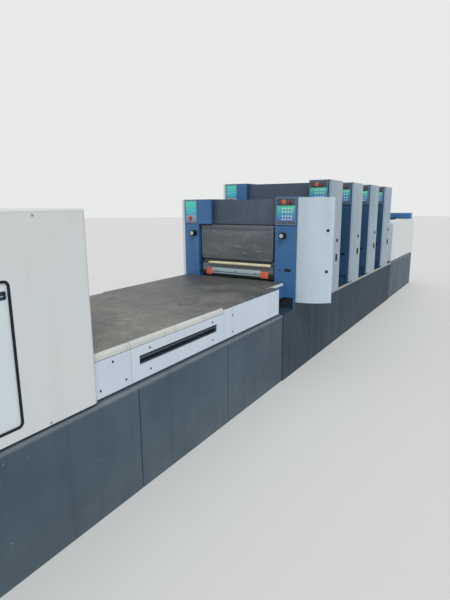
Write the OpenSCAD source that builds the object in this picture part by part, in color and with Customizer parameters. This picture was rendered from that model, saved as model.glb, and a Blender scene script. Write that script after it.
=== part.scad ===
// Sheet-fed offset printing press: delivery, walk-over platform, printing units
// in line, and feeder. X runs from the delivery to the feeder, -Y is the
// operator's side, Z = 0 is the floor and Y = 0 the press centre line.

/* [Layout along the press] */
// Number of printing units
unit_count = 5; // [2:1:8]
// Distance from one unit's front to the next one's
unit_pitch = 805; // [760:5:1000]
// Depth of one unit's housing along the press
unit_depth = 440; // [400:5:520]
// Length of the delivery housing
delivery_len = 1900; // [1600:10:2400]
// Length of the platform between delivery and first unit
platform_len = 2390; // [1600:10:3200]
// Length of the feeder
feeder_len = 1915; // [1700:10:2400]

/* [Base] */
// Half width of the base under the units, to the step's edge
base_half = 620; // [600:5:700]
// Half width of the base under delivery and platform
long_base_half = 612; // [580:5:650]
// Height of the base under delivery and platform
long_base_h = 622; // [450:1:700]
// Height of the base under the units
unit_base_h = 630; // [480:5:740]
// Height of the recessed strip that carries the covers
recess_h = 18; // [10:1:60]
// How far that strip stands back from the base's side
recess_in = 30; // [15:5:60]
// Radius of the ledge that runs along the base's upper edge
lip_r = 12; // [8:1:20]
// How far the ledge stands out over the side panels
lip_out = 3; // [2:1:20]
// Width and depth of the shadow gap between two panels
seam_w = 8; // [3:1:12]
seam_d = 10; // [4:1:15]

/* [Platform] */
// Height of the walking surface over the floor
deck_top = 870; // [800:5:1000]
// Thickness of the anti-slip tread plate
tread_t = 10; // [5:1:20]
// Half width of the platform's walking surface
deck_half = 598; // [560:1:640]
// Near edge of the narrow boards beside the units
narrow_half = 520; // [450:5:560]
// Height of the edge nosing
nosing_h = 38; // [25:1:50]
// Thickness of the white side covers
cover_t = 12; // [6:1:25]

/* [Printing units] */
// Width of the box at the far end of the first unit's header
first_far_box = 331; // [200:1:400]
// Width of the same box on the other units
far_box = 282; // [200:1:400]
// How far each header between the columns stands back from them
header_in = 55; // [20:1:60]
// Half width over the blue side housings
unit_half = 622; // [600:1:700]
// Height of the first unit
first_top = 1650; // [1500:5:1800]
// Height of the other units
unit_top = 1830; // [1650:5:2000]
// Height of the header over each unit's front opening
header_h = 256; // [150:1:300]
// How far the header between the columns stays below them
hood_drop = 24; // [5:1:40]
// How far the drive side stays below the operator's side
far_drop = 14; // [5:1:40]
// Width of the operator's side column
near_column = 213; // [180:1:280]
// Width of the drive side column
far_column = 171; // [150:1:240]
// Wall thickness of the side housings
wall_t = 20; // [10:1:30]
// Thickness of the cast side frames that carry the cylinders
frame_t = 40; // [25:1:60]
// Height of the recess at the foot of the operator's column
toe_h = 100; // [60:5:140]

/* [Cylinders and rollers] */
// Radius of impression, blanket and plate cylinders
cylinder_r = 110; // [90:1:120]
// Radius of the form rollers
form_r = 32; // [25:1:40]
// Radius of the distributing rollers
drum_r = 40; // [30:1:45]
// Radius of the rider rollers
rider_r = 28; // [20:1:32]
// Radius of the cylinders' journals
journal_r = 45; // [30:1:55]
// Radius of the bearing flanges on the cylinders' journals
flange_r = 72; // [60:1:90]
// Gap left between two rollers that run together
nip = 0.4; // [0.2:0.1:2]

/* [Doors and guards] */
// Length of a side door along the press
door_w = 380; // [300:5:420]
// Length of the first unit's shorter door
first_door_w = 315; // [250:5:360]
// Thickness of a door
door_t = 18; // [10:1:30]
// How far a door bows outwards in its middle
door_bow = 35; // [15:1:60]
// Angle at which the first door stands open
first_door_open = 64; // [0:1:100]
// Running gap round the doors and guards
gap = 5; // [5:1:10]
// Thickness of a guard's clear sheet
sheet_t = 5; // [3:1:8]

/* [Delivery and feeder] */
// Height of the delivery housing
delivery_top = 1570; // [1400:5:1750]
// Half width of the delivery and feeder covers
end_half = 620; // [600:1:680]
// Half width of the pile bays
bay_half = 430; // [400:5:470]
// Length of the pile bays
bay_len = 760; // [700:5:850]
// Radius of the delivery's rear corners
corner_r = 24; // [10:1:40]
// Radius of the roof's long edges
hood_r = 12; // [5:1:14]
// Height of the feeder's side housings
feeder_top = 1300; // [1200:5:1500]

/* [Hidden] */
$fn = 64;

total_len = delivery_len + platform_len + unit_count * unit_pitch + feeder_len;
x_start = -total_len / 2;
x_deck = x_start + delivery_len;
x_units = x_deck + platform_len;
x_feeder = x_units + unit_count * unit_pitch;
x_end = x_feeder + feeder_len;
niche_len = unit_pitch - unit_depth;
split_in = 291;
joint_back = 237;
base_split = x_deck + split_in;
base_joint = x_units - joint_back;
panel_len = (base_joint - base_split) / 2;
near_in = -(unit_half - near_column);
far_in = unit_half - far_column;
long_cover_z = long_base_h + recess_h;
hinge_r = 9;
hinge_gap = 0.3;

function unit_x(k) = x_units + (k - 1) * unit_pitch;
function top_of(k) = k == 1 ? first_top : unit_top;
function door_of(k) = k == 1 ? first_door_w : door_w;
function box_y(k) = unit_half - (k == 1 ? first_far_box : far_box);

// Box between two corners
module box(a, b) {
    translate(a) cube(b - a);
}

// Outline in Y and Z pushed along X
module along_x(x0, x1) {
    translate([x0, 0, 0]) rotate([90, 0, 90]) linear_extrude(x1 - x0) children();
}

// Outline in X and Z pushed along Y
module along_y(y0, y1) {
    translate([0, y1, 0]) rotate([90, 0, 0]) linear_extrude(y1 - y0) children();
}

// Round bar across the press
module bar_y(x, z, r, y0, y1) {
    translate([x, y0, z]) rotate([-90, 0, 0]) cylinder(r = r, h = y1 - y0);
}

// Cross section of the long base: panels, rounded ledge and the strip over it
module base_section(half, height) {
    lip_half = half + lip_out - lip_r;
    translate([-half, 0]) square([2 * half, height - lip_r]);
    translate([-lip_half, height - 2 * lip_r]) square([2 * lip_half, 2 * lip_r]);
    for (side = [-1, 1]) translate([side * lip_half, height - lip_r]) circle(r = lip_r);
    translate([recess_in - half, height - lip_r]) square([2 * (half - recess_in), recess_h + lip_r]);
}

// Shadow gaps between side panels, cut on both sides below the ledge
module seams(xs, half, height) {
    for (x = xs, side = [-1, 1])
        box([x - seam_w / 2, side * half - seam_d, -1],
            [x + seam_w / 2, side * half + seam_d, height - 2 * lip_r]);
}

module base_delivery() {
    color("#485A67") difference() {
        along_x(x_start, base_split) base_section(long_base_half, long_base_h);
        box([x_start - 1, -bay_half, -1], [x_start + bay_len, bay_half, long_cover_z + 1]);
        seams([x_start + delivery_len / 2, base_split], long_base_half, long_base_h);
    }
}

module base_platform() {
    color("#485A67") difference() {
        along_x(base_split, base_joint) base_section(long_base_half, long_base_h);
        seams([base_split, base_split + panel_len], long_base_half, long_base_h);
    }
}

module base_units() {
    color("#404C58") difference() {
        box([base_joint, -base_half, 0], [x_feeder, base_half, unit_base_h]);
        seams([for (k = [1:unit_count]) unit_x(k) + unit_depth + niche_len / 3], base_half, unit_base_h);
    }
}

module base_feeder() {
    color("#404C58") difference() {
        along_x(x_feeder, x_end) base_section(long_base_half, long_base_h);
        box([x_end - bay_len, -bay_half, -1], [x_end + 1, bay_half, long_cover_z + 1]);
        seams([x_feeder + feeder_len / 3], long_base_half, long_base_h);
    }
}

// Bright metal edges along the step on both sides, from the first unit's rear on
edge_t = 4;
edge_h = 26;
module step_edges() {
    color("#B4B9BE") for (y = [-base_half - edge_t, base_half])
        box([x_units + unit_depth, y, unit_base_h - edge_h], [x_feeder, y + edge_t, unit_base_h]);
}

// Round-cornered panel in each side of the delivery, seated in a groove
panel_w = 750;
panel_z0 = 690;
panel_z1 = 1303;
panel_r = 24;
panel_back = 402;
panel_x1 = x_deck - panel_back;
panel_in = 4;
panel_t = 10;
gasket_w = 6;
module round_rect(x0, z0, x1, z1, r) {
    translate([x0 + r, z0]) square([x1 - x0 - 2 * r, z1 - z0]);
    translate([x0, z0 + r]) square([x1 - x0, z1 - z0 - 2 * r]);
    for (x = [x0 + r, x1 - r], z = [z0 + r, z1 - r]) translate([x, z]) circle(r = r);
}

// Slab on one side of the press, from depth d0 to depth d1 under its outer face
module on_side(side, d0, d1) {
    y = side * end_half;
    along_y(min(y - side * d0, y - side * d1), max(y - side * d0, y - side * d1)) children();
}

roof_h = 14;
rear_t = 30;
module delivery_side(side) {
    color("#C8CDD0") difference() {
        on_side(side, 0, end_half - bay_half)
            translate([x_start, long_cover_z])
                square([delivery_len - rear_t, delivery_top - roof_h - long_cover_z]);
        on_side(side, -1, panel_in + panel_t)
            round_rect(panel_x1 - panel_w, panel_z0, panel_x1, panel_z1, panel_r);
    }
}

// The panels, each with a flat recessed grip near its upper rear corner
grip_l = 130;
grip_h = 33;
grip_d = 7;
grip_r = 6;
grip_in = 16;
grip_drop = 42;
grip_x1 = panel_x1 - grip_in;
grip_z0 = panel_z1 - grip_drop - grip_h;
module delivery_side_panel() {
    color("#C4D2CE") for (side = [-1, 1]) difference() {
        on_side(side, panel_in, panel_in + panel_t)
            round_rect(panel_x1 - panel_w + gasket_w, panel_z0 + gasket_w,
                       panel_x1 - gasket_w, panel_z1 - gasket_w, panel_r - gasket_w);
        on_side(side, panel_in - 1, panel_in + grip_d)
            round_rect(grip_x1 - grip_l, grip_z0, grip_x1, grip_z0 + grip_h, grip_r);
    }
}

// Plan of the delivery with rounded rear corners, from x0 to the platform
module rear_plan(x0) {
    intersection() {
        translate([x0, -end_half]) square([x_deck - x0, 2 * end_half]);
        union() {
            translate([x_start, -end_half]) square([x_deck - corner_r - x_start, 2 * end_half]);
            translate([x_start, corner_r - end_half])
                square([x_deck - x_start, 2 * (end_half - corner_r)]);
            for (side = [-1, 1])
                translate([x_deck - corner_r, side * (end_half - corner_r)]) circle(r = corner_r);
        }
    }
}

// Roof with round long edges, and the header with its keys over the pile
header_t = 110;
header_z = 1455;
header_r = 12;
module delivery_hood() {
    color("#D2D6D8") intersection() {
        along_x(x_start, x_deck) {
            flat_half = end_half - hood_r;
            translate([-end_half, delivery_top - 2 * roof_h]) square([2 * end_half, 2 * roof_h - hood_r]);
            translate([-flat_half, delivery_top - 2 * roof_h]) square([2 * flat_half, 2 * roof_h]);
            for (side = [-1, 1]) translate([side * flat_half, delivery_top - hood_r]) circle(r = hood_r);
        }
        translate([0, 0, delivery_top - roof_h]) linear_extrude(roof_h + 1) rear_plan(x_start);
    }
    color("#4A5462") along_y(-bay_half, bay_half)
        round_rect(x_start, header_z, x_start + header_t, delivery_top - roof_h, header_r);
}

// Closed wall towards the platform and the closed chain housing behind the pile
module delivery_inner_wall() {
    color("#C8CDD0") translate([0, 0, long_cover_z]) linear_extrude(delivery_top - roof_h - long_cover_z)
        rear_plan(x_deck - rear_t);
    color("#B8BEC2") box([x_start + bay_len, -bay_half, long_cover_z],
                         [x_deck - rear_t / 2, bay_half, delivery_top - roof_h]);
}

// Pile board on two skids, held by lugs on the lifting chains in the bay's corners
board_z = 60;
board_t = 40;
board_clear = 20;
skid_w = 60;
lug_w = 50;
lug_t = 20;
chain_w = 14;
module pile_board(x0, x1, chain_top) {
    edge = bay_half - board_clear;
    color("#8C6E4B") {
        box([x0 + 2 * board_clear, -edge, board_z], [x1 - 2 * board_clear, edge, board_z + board_t]);
        for (y = [-edge + skid_w, -skid_w / 2, edge - 2 * skid_w])
            box([x0 + 2 * board_clear, y, 0], [x1 - 2 * board_clear, y + skid_w, board_z]);
    }
    color("#5A5F64") for (x = [x0 + 2 * board_clear + lug_w, x1 - 2 * board_clear - lug_w], side = [-1, 1]) {
        y0 = side < 0 ? -bay_half : bay_half - lug_t;
        box([x - lug_w / 2, y0, board_z - board_t / 2], [x + lug_w / 2, y0 + lug_t, board_z + board_t]);
        box([x - chain_w / 2, side < 0 ? y0 : y0 + lug_t - chain_w, board_z + board_t],
            [x + chain_w / 2, side < 0 ? y0 + chain_w : y0 + lug_t, chain_top]);
    }
}

module delivery_pile_board() {
    pile_board(x_start, x_start + bay_len, chain_z - chain_r - 2 * chain_t);
}

// Two chain loops round sprockets, with gripper bars that lay the sheets on the pile
chain_z = 1330;
chain_r = 80;
chain_t = 20;
chain_x0 = x_start + chain_r + 80;
chain_x1 = x_start + bay_len - chain_r - 10;
bar_w = 40;
bar_h = 25;
sprocket_hole = 12;
module stadium(x0, x1, z, r) {
    translate([x0, z - r]) square([x1 - x0, 2 * r]);
    for (x = [x0, x1]) translate([x, z]) circle(r = r);
}

module delivery_gripper_chains() {
    y_in = bay_half - chain_t;
    color("#6E7378") for (y = [-bay_half, y_in]) along_y(y, y + chain_t) {
        difference() {
            stadium(chain_x0, chain_x1, chain_z, chain_r);
            stadium(chain_x0, chain_x1, chain_z, chain_r - chain_t);
        }
        for (x = [chain_x0, chain_x1]) translate([x, chain_z]) difference() {
            circle(r = chain_r - chain_t / 2);
            for (a = [0:60:300])
                rotate(a) translate([(chain_r + sprocket_hole) / 2, 0]) circle(r = sprocket_hole);
        }
    }
    color("#9AA0A5") {
        for (x = [chain_x0, chain_x1]) bar_y(x, chain_z, chain_t, -y_in, y_in);
        for (x = [chain_x0 + 2 * bar_w, chain_x1 - 3 * bar_w])
            box([x, -y_in, chain_z - chain_r], [x + bar_w, y_in, chain_z - chain_r + bar_h]);
    }
}

narrow_len = 295;
deck_split = x_units - narrow_len;
strip_x = x_units - niche_len;
skin_in = 10;
module deck_plan(z0, z1) {
    box([x_deck, -deck_half, z0], [deck_split, deck_half, z1]);
    box([deck_split, -narrow_half, z0], [x_units, deck_half, z1]);
}

// Deck under the tread; behind the covers' grip slots it has a recess with a round rail
slot_x0 = 323;
slot_x1 = 1105;
slot_z0 = 724;
slot_z1 = 778;
slot_d = 45;
rail_r = 7;

// Filling under a narrow board beside a unit, set back at its foot
toe_in = 30;
module niche_fill(x0, x1, y1, z0) {
    y0 = skin_in - narrow_half;
    z1 = unit_base_h + toe_h;
    box([x0, y0, z1], [x1, y1, deck_top - tread_t]);
    box([x0, y0 + toe_in, z0], [x1, y1, z1]);
}

module platform_deck() {
    inner = deck_half - cover_t;
    z1 = deck_top - tread_t;
    color("#5A5C5C") difference() {
        union() {
            box([x_deck, -inner, long_cover_z], [deck_split, inner, z1]);
            niche_fill(deck_split, base_joint, inner, long_cover_z);
            niche_fill(base_joint, x_units, inner, unit_base_h);
        }
        for (side = [-1, 1]) box([x_deck + slot_x0, side * inner - slot_d, slot_z0],
                                 [x_deck + slot_x1, side * inner + slot_d, slot_z1]);
        box([strip_x, -narrow_half, deck_top - strip_h], [deck_split, skin_in - narrow_half, z1 + 1]);
    }
    color("#5A5C5C") for (side = [-1, 1])
        translate([x_deck + slot_x0, side * (inner - rail_r), (slot_z0 + slot_z1) / 2 + rail_r])
            rotate([0, 90, 0]) cylinder(r = rail_r, h = slot_x1 - slot_x0);
}

module platform_tread() {
    color("#78736A") difference() {
        deck_plan(deck_top - tread_t, deck_top);
        for (side = [-1, 1]) box([x_deck - 1, side * deck_half - nosing_w, 0],
                                 [x_deck + cover_b - cover_gap, side * deck_half + nosing_w, deck_top + 1]);
        box([strip_x, -narrow_half, 0], [deck_split, skin_in - narrow_half, deck_top + 1]);
        box([deck_split, -narrow_half - 1, 0], [x_units, skin_in - narrow_half, deck_top + 1]);
    }
}

// Cream edge strips: a round nosing over the first two covers on each side, with
// a joint over the covers' own, and a flat strip on the narrow board by the units
cover_a = 259;
cover_b = 1195;
cover_gap = 3;
nosing_w = 24;
nosing_r = 18;
strip_h = 22;
strip_back = 40;
module platform_nosing() {
    r = nosing_r;
    y0 = deck_half - nosing_w;
    y1 = deck_half - cover_gap;
    z0 = deck_top - nosing_h + cover_gap;
    color("#D7D6CD") {
        for (side = [-1, 1], x = [[0, cover_a - cover_gap], [cover_a, cover_b - cover_gap]])
            along_x(x_deck + x[0], x_deck + x[1]) scale([side, 1]) difference() {
                intersection() {
                    translate([y0, z0]) square([y1 - y0, deck_top - z0]);
                    union() {
                        translate([0, z0]) square([y1 - r, deck_top - z0]);
                        translate([0, z0]) square([y1, deck_top - r - z0]);
                        translate([y1 - r, deck_top - r]) circle(r = r);
                    }
                }
                translate([0, z0 - 1]) square([deck_half - cover_t, deck_top - tread_t - z0 + 1]);
            }
        box([strip_x, -narrow_half, deck_top - strip_h],
            [x_units - strip_back, skin_in - narrow_half, deck_top]);
    }
}

// White side covers; the middle one has a long grip slot
module platform_covers() {
    z2 = deck_top - tread_t;
    z1 = deck_top - nosing_h;
    color("#CDD3DA") for (side = [-1, 1]) {
        y0 = side < 0 ? -deck_half : deck_half - cover_t;
        box([x_deck, y0, long_cover_z], [x_deck + cover_a - cover_gap, y0 + cover_t, z1]);
        difference() {
            box([x_deck + cover_a, y0, long_cover_z], [x_deck + cover_b - cover_gap, y0 + cover_t, z1]);
            box([x_deck + slot_x0, side * deck_half - slot_d, slot_z0],
                [x_deck + slot_x1, side * deck_half + slot_d, slot_z1]);
        }
        box([x_deck + cover_b, y0, long_cover_z], [deck_split, y0 + cover_t, z2]);
    }
}

// Boards between the units, with a tread that stands over at its near edge
module footboards() {
    for (k = [2:unit_count]) {
        x0 = unit_x(k) - niche_len;
        z1 = deck_top - tread_t;
        color("#4B4E52") niche_fill(x0, unit_x(k), unit_half, unit_base_h);
        color("#78736A") box([x0, -narrow_half, z1], [unit_x(k), unit_half, deck_top]);
    }
}

// Cross section of a unit's hood: header, roof and back plate, all one sheet thick,
// with its roof and its header set back from the unit's as drop and back say
hood_t = 12;
back_z = 240;
module hood_section(k, drop, back) {
    x = unit_x(k) + back;
    x1 = unit_x(k) + unit_depth;
    top = top_of(k) - drop;
    translate([x, top_of(k) - header_h]) square([hood_t, header_h - drop]);
    translate([x, top - hood_t]) square([x1 - x, hood_t]);
    translate([x1 - hood_t, deck_top + back_z]) square([hood_t, top - deck_top - back_z]);
}

// Side housings: an open pocket behind the door, a closed one on the drive side,
// and the box at the header's far end, with a cheek beside the header
lug_h = 8;
groove = 6;
latch_y = -541;
latch_z = 985;
latch_w = 70;
latch_h = 28;
latch_d = 9;
toe_d = 14;
floor_t = 25;
function door_x1(k) = unit_x(k) + hinge_r + door_of(k) - wall_t;
module unit_housing(k) {
    x = unit_x(k);
    x1 = x + unit_depth - wall_t;
    y1 = near_in - frame_t;
    top = top_of(k);
    z0 = unit_base_h;
    color("#3A6B9B") {
        difference() {
            box([x, -unit_half, z0], [x + unit_depth, near_in, top]);
            box([x + wall_t, wall_t - unit_half, z0 + floor_t], [x1, y1, door_z1(k) - wall_t]);
            box([x + wall_t, -unit_half - 1, door_z0(k)], [door_x1(k), y1, door_z1(k) - wall_t]);
            box([x - 1, wall_t - unit_half, z0 - 1], [x + toe_d, near_in + 1, z0 + toe_h]);
            box([x - 1, -unit_half - 1, top - header_h - groove], [x + groove, near_in + 1, top - header_h]);
            along_x(x - 1, x + latch_d)
                round_rect(latch_y - latch_w / 2, latch_z - latch_h / 2,
                           latch_y + latch_w / 2, latch_z + latch_h / 2, latch_h / 2 - 1);
            for (c = cylinders) bar_y(x + c[0], c[1], journal_r + nip, y1 - 1, near_in + 1);
        }
        box([x, far_in, z0], [x + unit_depth, unit_half, top - far_drop]);
        along_y(box_y(k), far_in + hood_t) hood_section(k, far_drop, 0);
        box([x, box_y(k), top - header_h],
            [x + header_in + hood_t, box_y(k) + hood_t, top - far_drop]);
        for (z = [door_z0(k) - hinge_gap - lug_h, door_z1(k) + hinge_gap])
            box([x, hinge_y - hinge_r, z], [x + 2 * hinge_r, -unit_half, z + lug_h]);
    }
}

// Slate hood between the side housings, with the shadow gap round the lid over the
// ink fountain
lid_in = 40;
lid_d = 4;
module unit_hoods() {
    for (k = [1:unit_count]) {
        x0 = unit_x(k) + header_in + lid_in;
        x1 = unit_x(k) + unit_depth - lid_in;
        y0 = near_in + lid_in;
        y1 = box_y(k) - lid_in;
        top = top_of(k) - hood_drop;
        color("#4A5462") difference() {
            along_y(near_in, box_y(k)) hood_section(k, hood_drop, header_in);
            difference() {
                box([x0, y0, top - lid_d], [x1, y1, top + 1]);
                box([x0 + groove, y0 + groove, top - lid_d - 1], [x1 - groove, y1 - groove, top + 1]);
            }
        }
    }
}

// Point at distances d1 and d2 from c1 and c2, on the left of the line c1 to c2
function touch(c1, d1, c2, d2) =
    let (v = c2 - c1, d = norm(v), a = (d * d + d1 * d1 - d2 * d2) / (2 * d),
         h = sqrt(max(0, d1 * d1 - a * a)), u = v / d)
    c1 + a * u + h * [-u[1], u[0]];
function around(c, dist, angle) = c + dist * [cos(angle), sin(angle)];

// Impression, blanket and plate cylinder, one over the other, then the rollers
// that stand round the plate cylinder: four form rollers, two oscillating drums
// that each run on a pair of them, a rider on each drum, and two damping rollers
impression = [unit_depth / 2, unit_base_h + seam_d + cylinder_r];
blanket = around(impression, 2 * cylinder_r + nip, 110);
plate = around(blanket, 2 * cylinder_r + nip, 70);
cylinders = [impression, blanket, plate];
clamp_turns = [0, 40, 196];
forms = [for (a = [25, 62, 105, 142]) around(plate, cylinder_r + form_r + nip, a)];
drums = [touch(forms[1], form_r + drum_r + nip, forms[0], form_r + drum_r + nip),
         touch(forms[3], form_r + drum_r + nip, forms[2], form_r + drum_r + nip)];
riders = [around(drums[0], drum_r + rider_r + nip, 95), around(drums[1], drum_r + rider_r + nip, 100)];
damper = around(plate, cylinder_r + rider_r + nip, 178);
dampers = [damper, around(damper, 2 * rider_r + nip, 262)];

// One roller: its body between the bearers, thin shafts into the side frames, and
// the socket that holds it on the operator's side
end_gap = 26;
shaft_r = 14;
socket_r = 22;
socket_t = 16;
module roller(x, c, r) {
    bar_y(x + c[0], c[1], r, near_in + end_gap, far_in - end_gap);
    bar_y(x + c[0], c[1], shaft_r, near_in, far_in);
}

// One cylinder: body with its clamping gap, bearers, journals through the near
// frame, and a bearing flange with a boss in the housing's pocket
bearer_w = 22;
bearer_r = 1;
channel_w = 46;
channel_d = 26;
flange_t = 14;
boss_r = 56;
boss_t = 30;
module press_cylinder(x, c, clamp_turn) {
    y1 = near_in - frame_t;
    difference() {
        union() {
            bar_y(x + c[0], c[1], cylinder_r - bearer_r, near_in + end_gap, far_in - end_gap);
            for (y = [near_in + end_gap, far_in - end_gap - bearer_w])
                bar_y(x + c[0], c[1], cylinder_r, y, y + bearer_w);
        }
        translate([x + c[0], near_in + end_gap + bearer_w, c[1]]) rotate([0, -clamp_turn, 0])
            translate([cylinder_r - channel_d, 0, -channel_w / 2])
                cube([channel_d + 1, far_in - near_in - 2 * (end_gap + bearer_w), channel_w]);
    }
    bar_y(x + c[0], c[1], journal_r, y1, far_in);
    bar_y(x + c[0], c[1], flange_r, y1 - flange_t, y1);
    bar_y(x + c[0], c[1], boss_r, y1 - boss_t, y1);
}

module unit_cylinders(k) {
    x = unit_x(k);
    y1 = near_in - frame_t;
    color("#9AA3A8") {
        for (i = [0:len(cylinders) - 1]) press_cylinder(x, cylinders[i], clamp_turns[i]);
        for (c = drums) roller(x, c, drum_r);
        for (c = concat(forms, drums, dampers)) bar_y(x + c[0], c[1], socket_r, y1 - socket_t, y1);
    }
    color("#33383C") {
        for (c = forms) roller(x, c, form_r);
        for (c = concat(riders, dampers)) roller(x, c, rider_r);
    }
}

// Bowed sheet door with turned-in edges and two stiffening channels, drawn closed
// along X from its hinge line at the origin
skin_t = 3;
channel_h = 60;
hinge_out = 1;
hinge_y = -unit_half - hinge_r - hinge_out;
door_in = -unit_half - gap - hinge_y;
first_sill = 65;
function door_z0(k) = unit_base_h + (k == 1 ? first_sill : floor_t);
function door_z1(k) = top_of(k) - lug_h - hinge_gap;
module door_plan(w, depth) {
    r = (w * w / 4 + door_bow * door_bow) / (2 * door_bow);
    intersection() {
        translate([w / 2, door_in + r - door_bow]) difference() {
            circle(r = r + door_t, $fn = 360);
            circle(r = r + door_t - depth, $fn = 360);
        }
        translate([0, -door_bow - door_t - 1]) square([w, door_bow + door_t + 1 + door_in]);
    }
}

module door_ends(w) {
    intersection() {
        door_plan(w, door_t);
        for (x = [0, w - 2 * skin_t]) translate([x, -door_bow - door_t - 1])
            square([2 * skin_t, door_bow + door_t + 1 + door_in]);
    }
}

module unit_door(k) {
    z0 = door_z0(k);
    h = door_z1(k) - z0;
    w = door_of(k);
    turn = k == 1 ? -first_door_open : 0;
    color("#CDD3D8") translate([unit_x(k) + hinge_r, hinge_y, z0]) rotate([0, 0, turn]) {
        linear_extrude(h) {
            circle(r = hinge_r);
            door_plan(w, skin_t);
            door_ends(w);
        }
        for (z = [0, h - skin_t]) translate([0, 0, z]) linear_extrude(skin_t) door_plan(w, door_t);
        for (z = [h / 3, 2 * h / 3]) translate([0, 0, z - channel_h / 2])
            linear_extrude(channel_h) door_plan(w, door_t);
    }
}

// Black caps on the front columns, each on a wider foot
knob_y = [-494, 502];
knob_z = 1302;
knob_r = 27;
knob_len = 54;
knob_foot = 4;
module column_knobs() {
    color("#1C1E20") for (k = [1:unit_count], y = knob_y)
        translate([unit_x(k), y, knob_z]) rotate([0, -90, 0]) {
            cylinder(r = knob_r, h = knob_len);
            cylinder(r = knob_r + knob_foot, h = 2 * knob_foot);
        }
}

// Key panels on both ends of each header: a frame round a set-back key field
panel_out = 8;
panel_edge = 12;
panel_face = 3;
far_panel_w = 162;
module key_panel(x, y0, z0, y1, z1) {
    translate([x - panel_out, 0, 0]) rotate([90, 0, 90]) difference() {
        linear_extrude(panel_out) round_rect(y0, z0, y1, z1, 2 * panel_face);
        translate([0, 0, -1]) linear_extrude(panel_face + 1)
            round_rect(y0 + panel_edge, z0 + panel_edge, y1 - panel_edge, z1 - panel_edge, panel_face);
    }
}

module control_panels() {
    color("#5F7382") for (k = [1:unit_count]) {
        z0 = top_of(k) - header_h + gap;
        z1 = top_of(k) - gap;
        key_panel(unit_x(k), -unit_half + gap, z0, near_in - gap, z1);
        key_panel(unit_x(k), unit_half - far_panel_w, z0, unit_half - gap, z1 - far_drop);
    }
}

// Flat covers over the gears on the drive side, each with a recessed grip
drive_cover_t = 30;
drive_cover_z = unit_base_h + recess_in;
cover_grip_z = 1250;
module drive_covers() {
    y1 = unit_half + drive_cover_t;
    color("#D2D6D8") for (k = [1:unit_count]) {
        x = unit_x(k);
        difference() {
            box([x, unit_half, drive_cover_z], [x + unit_pitch - cover_gap, y1, top_of(k) - far_drop]);
            along_y(y1 - grip_d, y1 + 1)
                round_rect(x + (unit_pitch - grip_l) / 2, cover_grip_z, x + (unit_pitch + grip_l) / 2,
                           cover_grip_z + grip_h, grip_r);
        }
    }
}

// Yellow rod and flat bar with orange end blocks across the foot of each front
// opening, both held in the columns by thin pins
rod_z = 1010;
rod_r = 15;
rod_y = [-364, 340];
pin_r = 7;
nip_x = 14;
bar_z0 = 903;
bar_z1 = 960;
bar_t = 12;
bar_y0 = -257;
bar_y1 = 297;
block_t = 28;
block_z0 = 890;
block_z1 = 952;
block_y = [-340, 360];
module nip_guards() {
    for (k = [1:unit_count]) {
        x = unit_x(k) + nip_x;
        color("#CDC378") {
            bar_y(x, rod_z, rod_r, rod_y[0], rod_y[1]);
            bar_y(x, rod_z, pin_r, near_in, far_in);
        }
        color("#8CA0A0") {
            box([x - bar_t / 2, bar_y0, bar_z0], [x + bar_t / 2, bar_y1, bar_z1]);
            bar_y(x, (block_z0 + block_z1) / 2, pin_r, near_in, far_in);
        }
        color("#E1694B") for (y = [[block_y[0], bar_y0], [bar_y1, block_y[1]]])
            box([x - block_t / 2, y[0], block_z0], [x + block_t / 2, y[1], block_z1]);
    }
}

// Clear guard hung from a bar under the header, with a folded lower edge
guard_low = 1050;
guard_x = 20;
guard_fold = 14;
guard_r = 9.7;
guard_bar_x = 10;
guard_drop = 15;
guard_side = 25;
module guard(k) {
    x = unit_x(k) + guard_x;
    y0 = near_in + guard_side;
    y1 = far_in - guard_side;
    z1 = top_of(k) - header_h - guard_drop;
    color([0.3, 0.32, 0.34, 0.5]) box([x, y0, guard_low], [x + sheet_t, y1, z1]);
    color("#3A3E42") {
        box([x, y0, guard_low], [x + guard_fold, y1, guard_low + sheet_t]);
        bar_y(x + guard_bar_x, z1, guard_r, near_in + hinge_gap, far_in - hinge_gap);
    }
}

module first_guard() {
    guard(1);
}

module unit_guards() {
    for (k = [2:unit_count]) guard(k);
}

// Side housings of the feeder, with round upper corners and a panel like the delivery's
feeder_r = 60;
feeder_panel_x = 120;
feeder_panel_w = 520;
feeder_panel_z0 = 700;
feeder_panel_z1 = 1180;
module feeder_side(side) {
    color("#C8CDD0") difference() {
        on_side(side, 0, end_half - bay_half) {
            translate([x_feeder, long_cover_z]) square([feeder_len, feeder_top - feeder_r - long_cover_z]);
            translate([x_feeder + feeder_r, long_cover_z])
                square([feeder_len - 2 * feeder_r, feeder_top - long_cover_z]);
            for (x = [x_feeder + feeder_r, x_end - feeder_r])
                translate([x, feeder_top - feeder_r]) circle(r = feeder_r);
        }
        on_side(side, -1, panel_in) difference() {
            feeder_panel_outline(0);
            feeder_panel_outline(gasket_w);
        }
    }
}

module feeder_panel_outline(inset) {
    x0 = x_feeder + feeder_panel_x;
    round_rect(x0 + inset, feeder_panel_z0 + inset, x0 + feeder_panel_w - inset, feeder_panel_z1 - inset,
               panel_r - inset);
}

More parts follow.
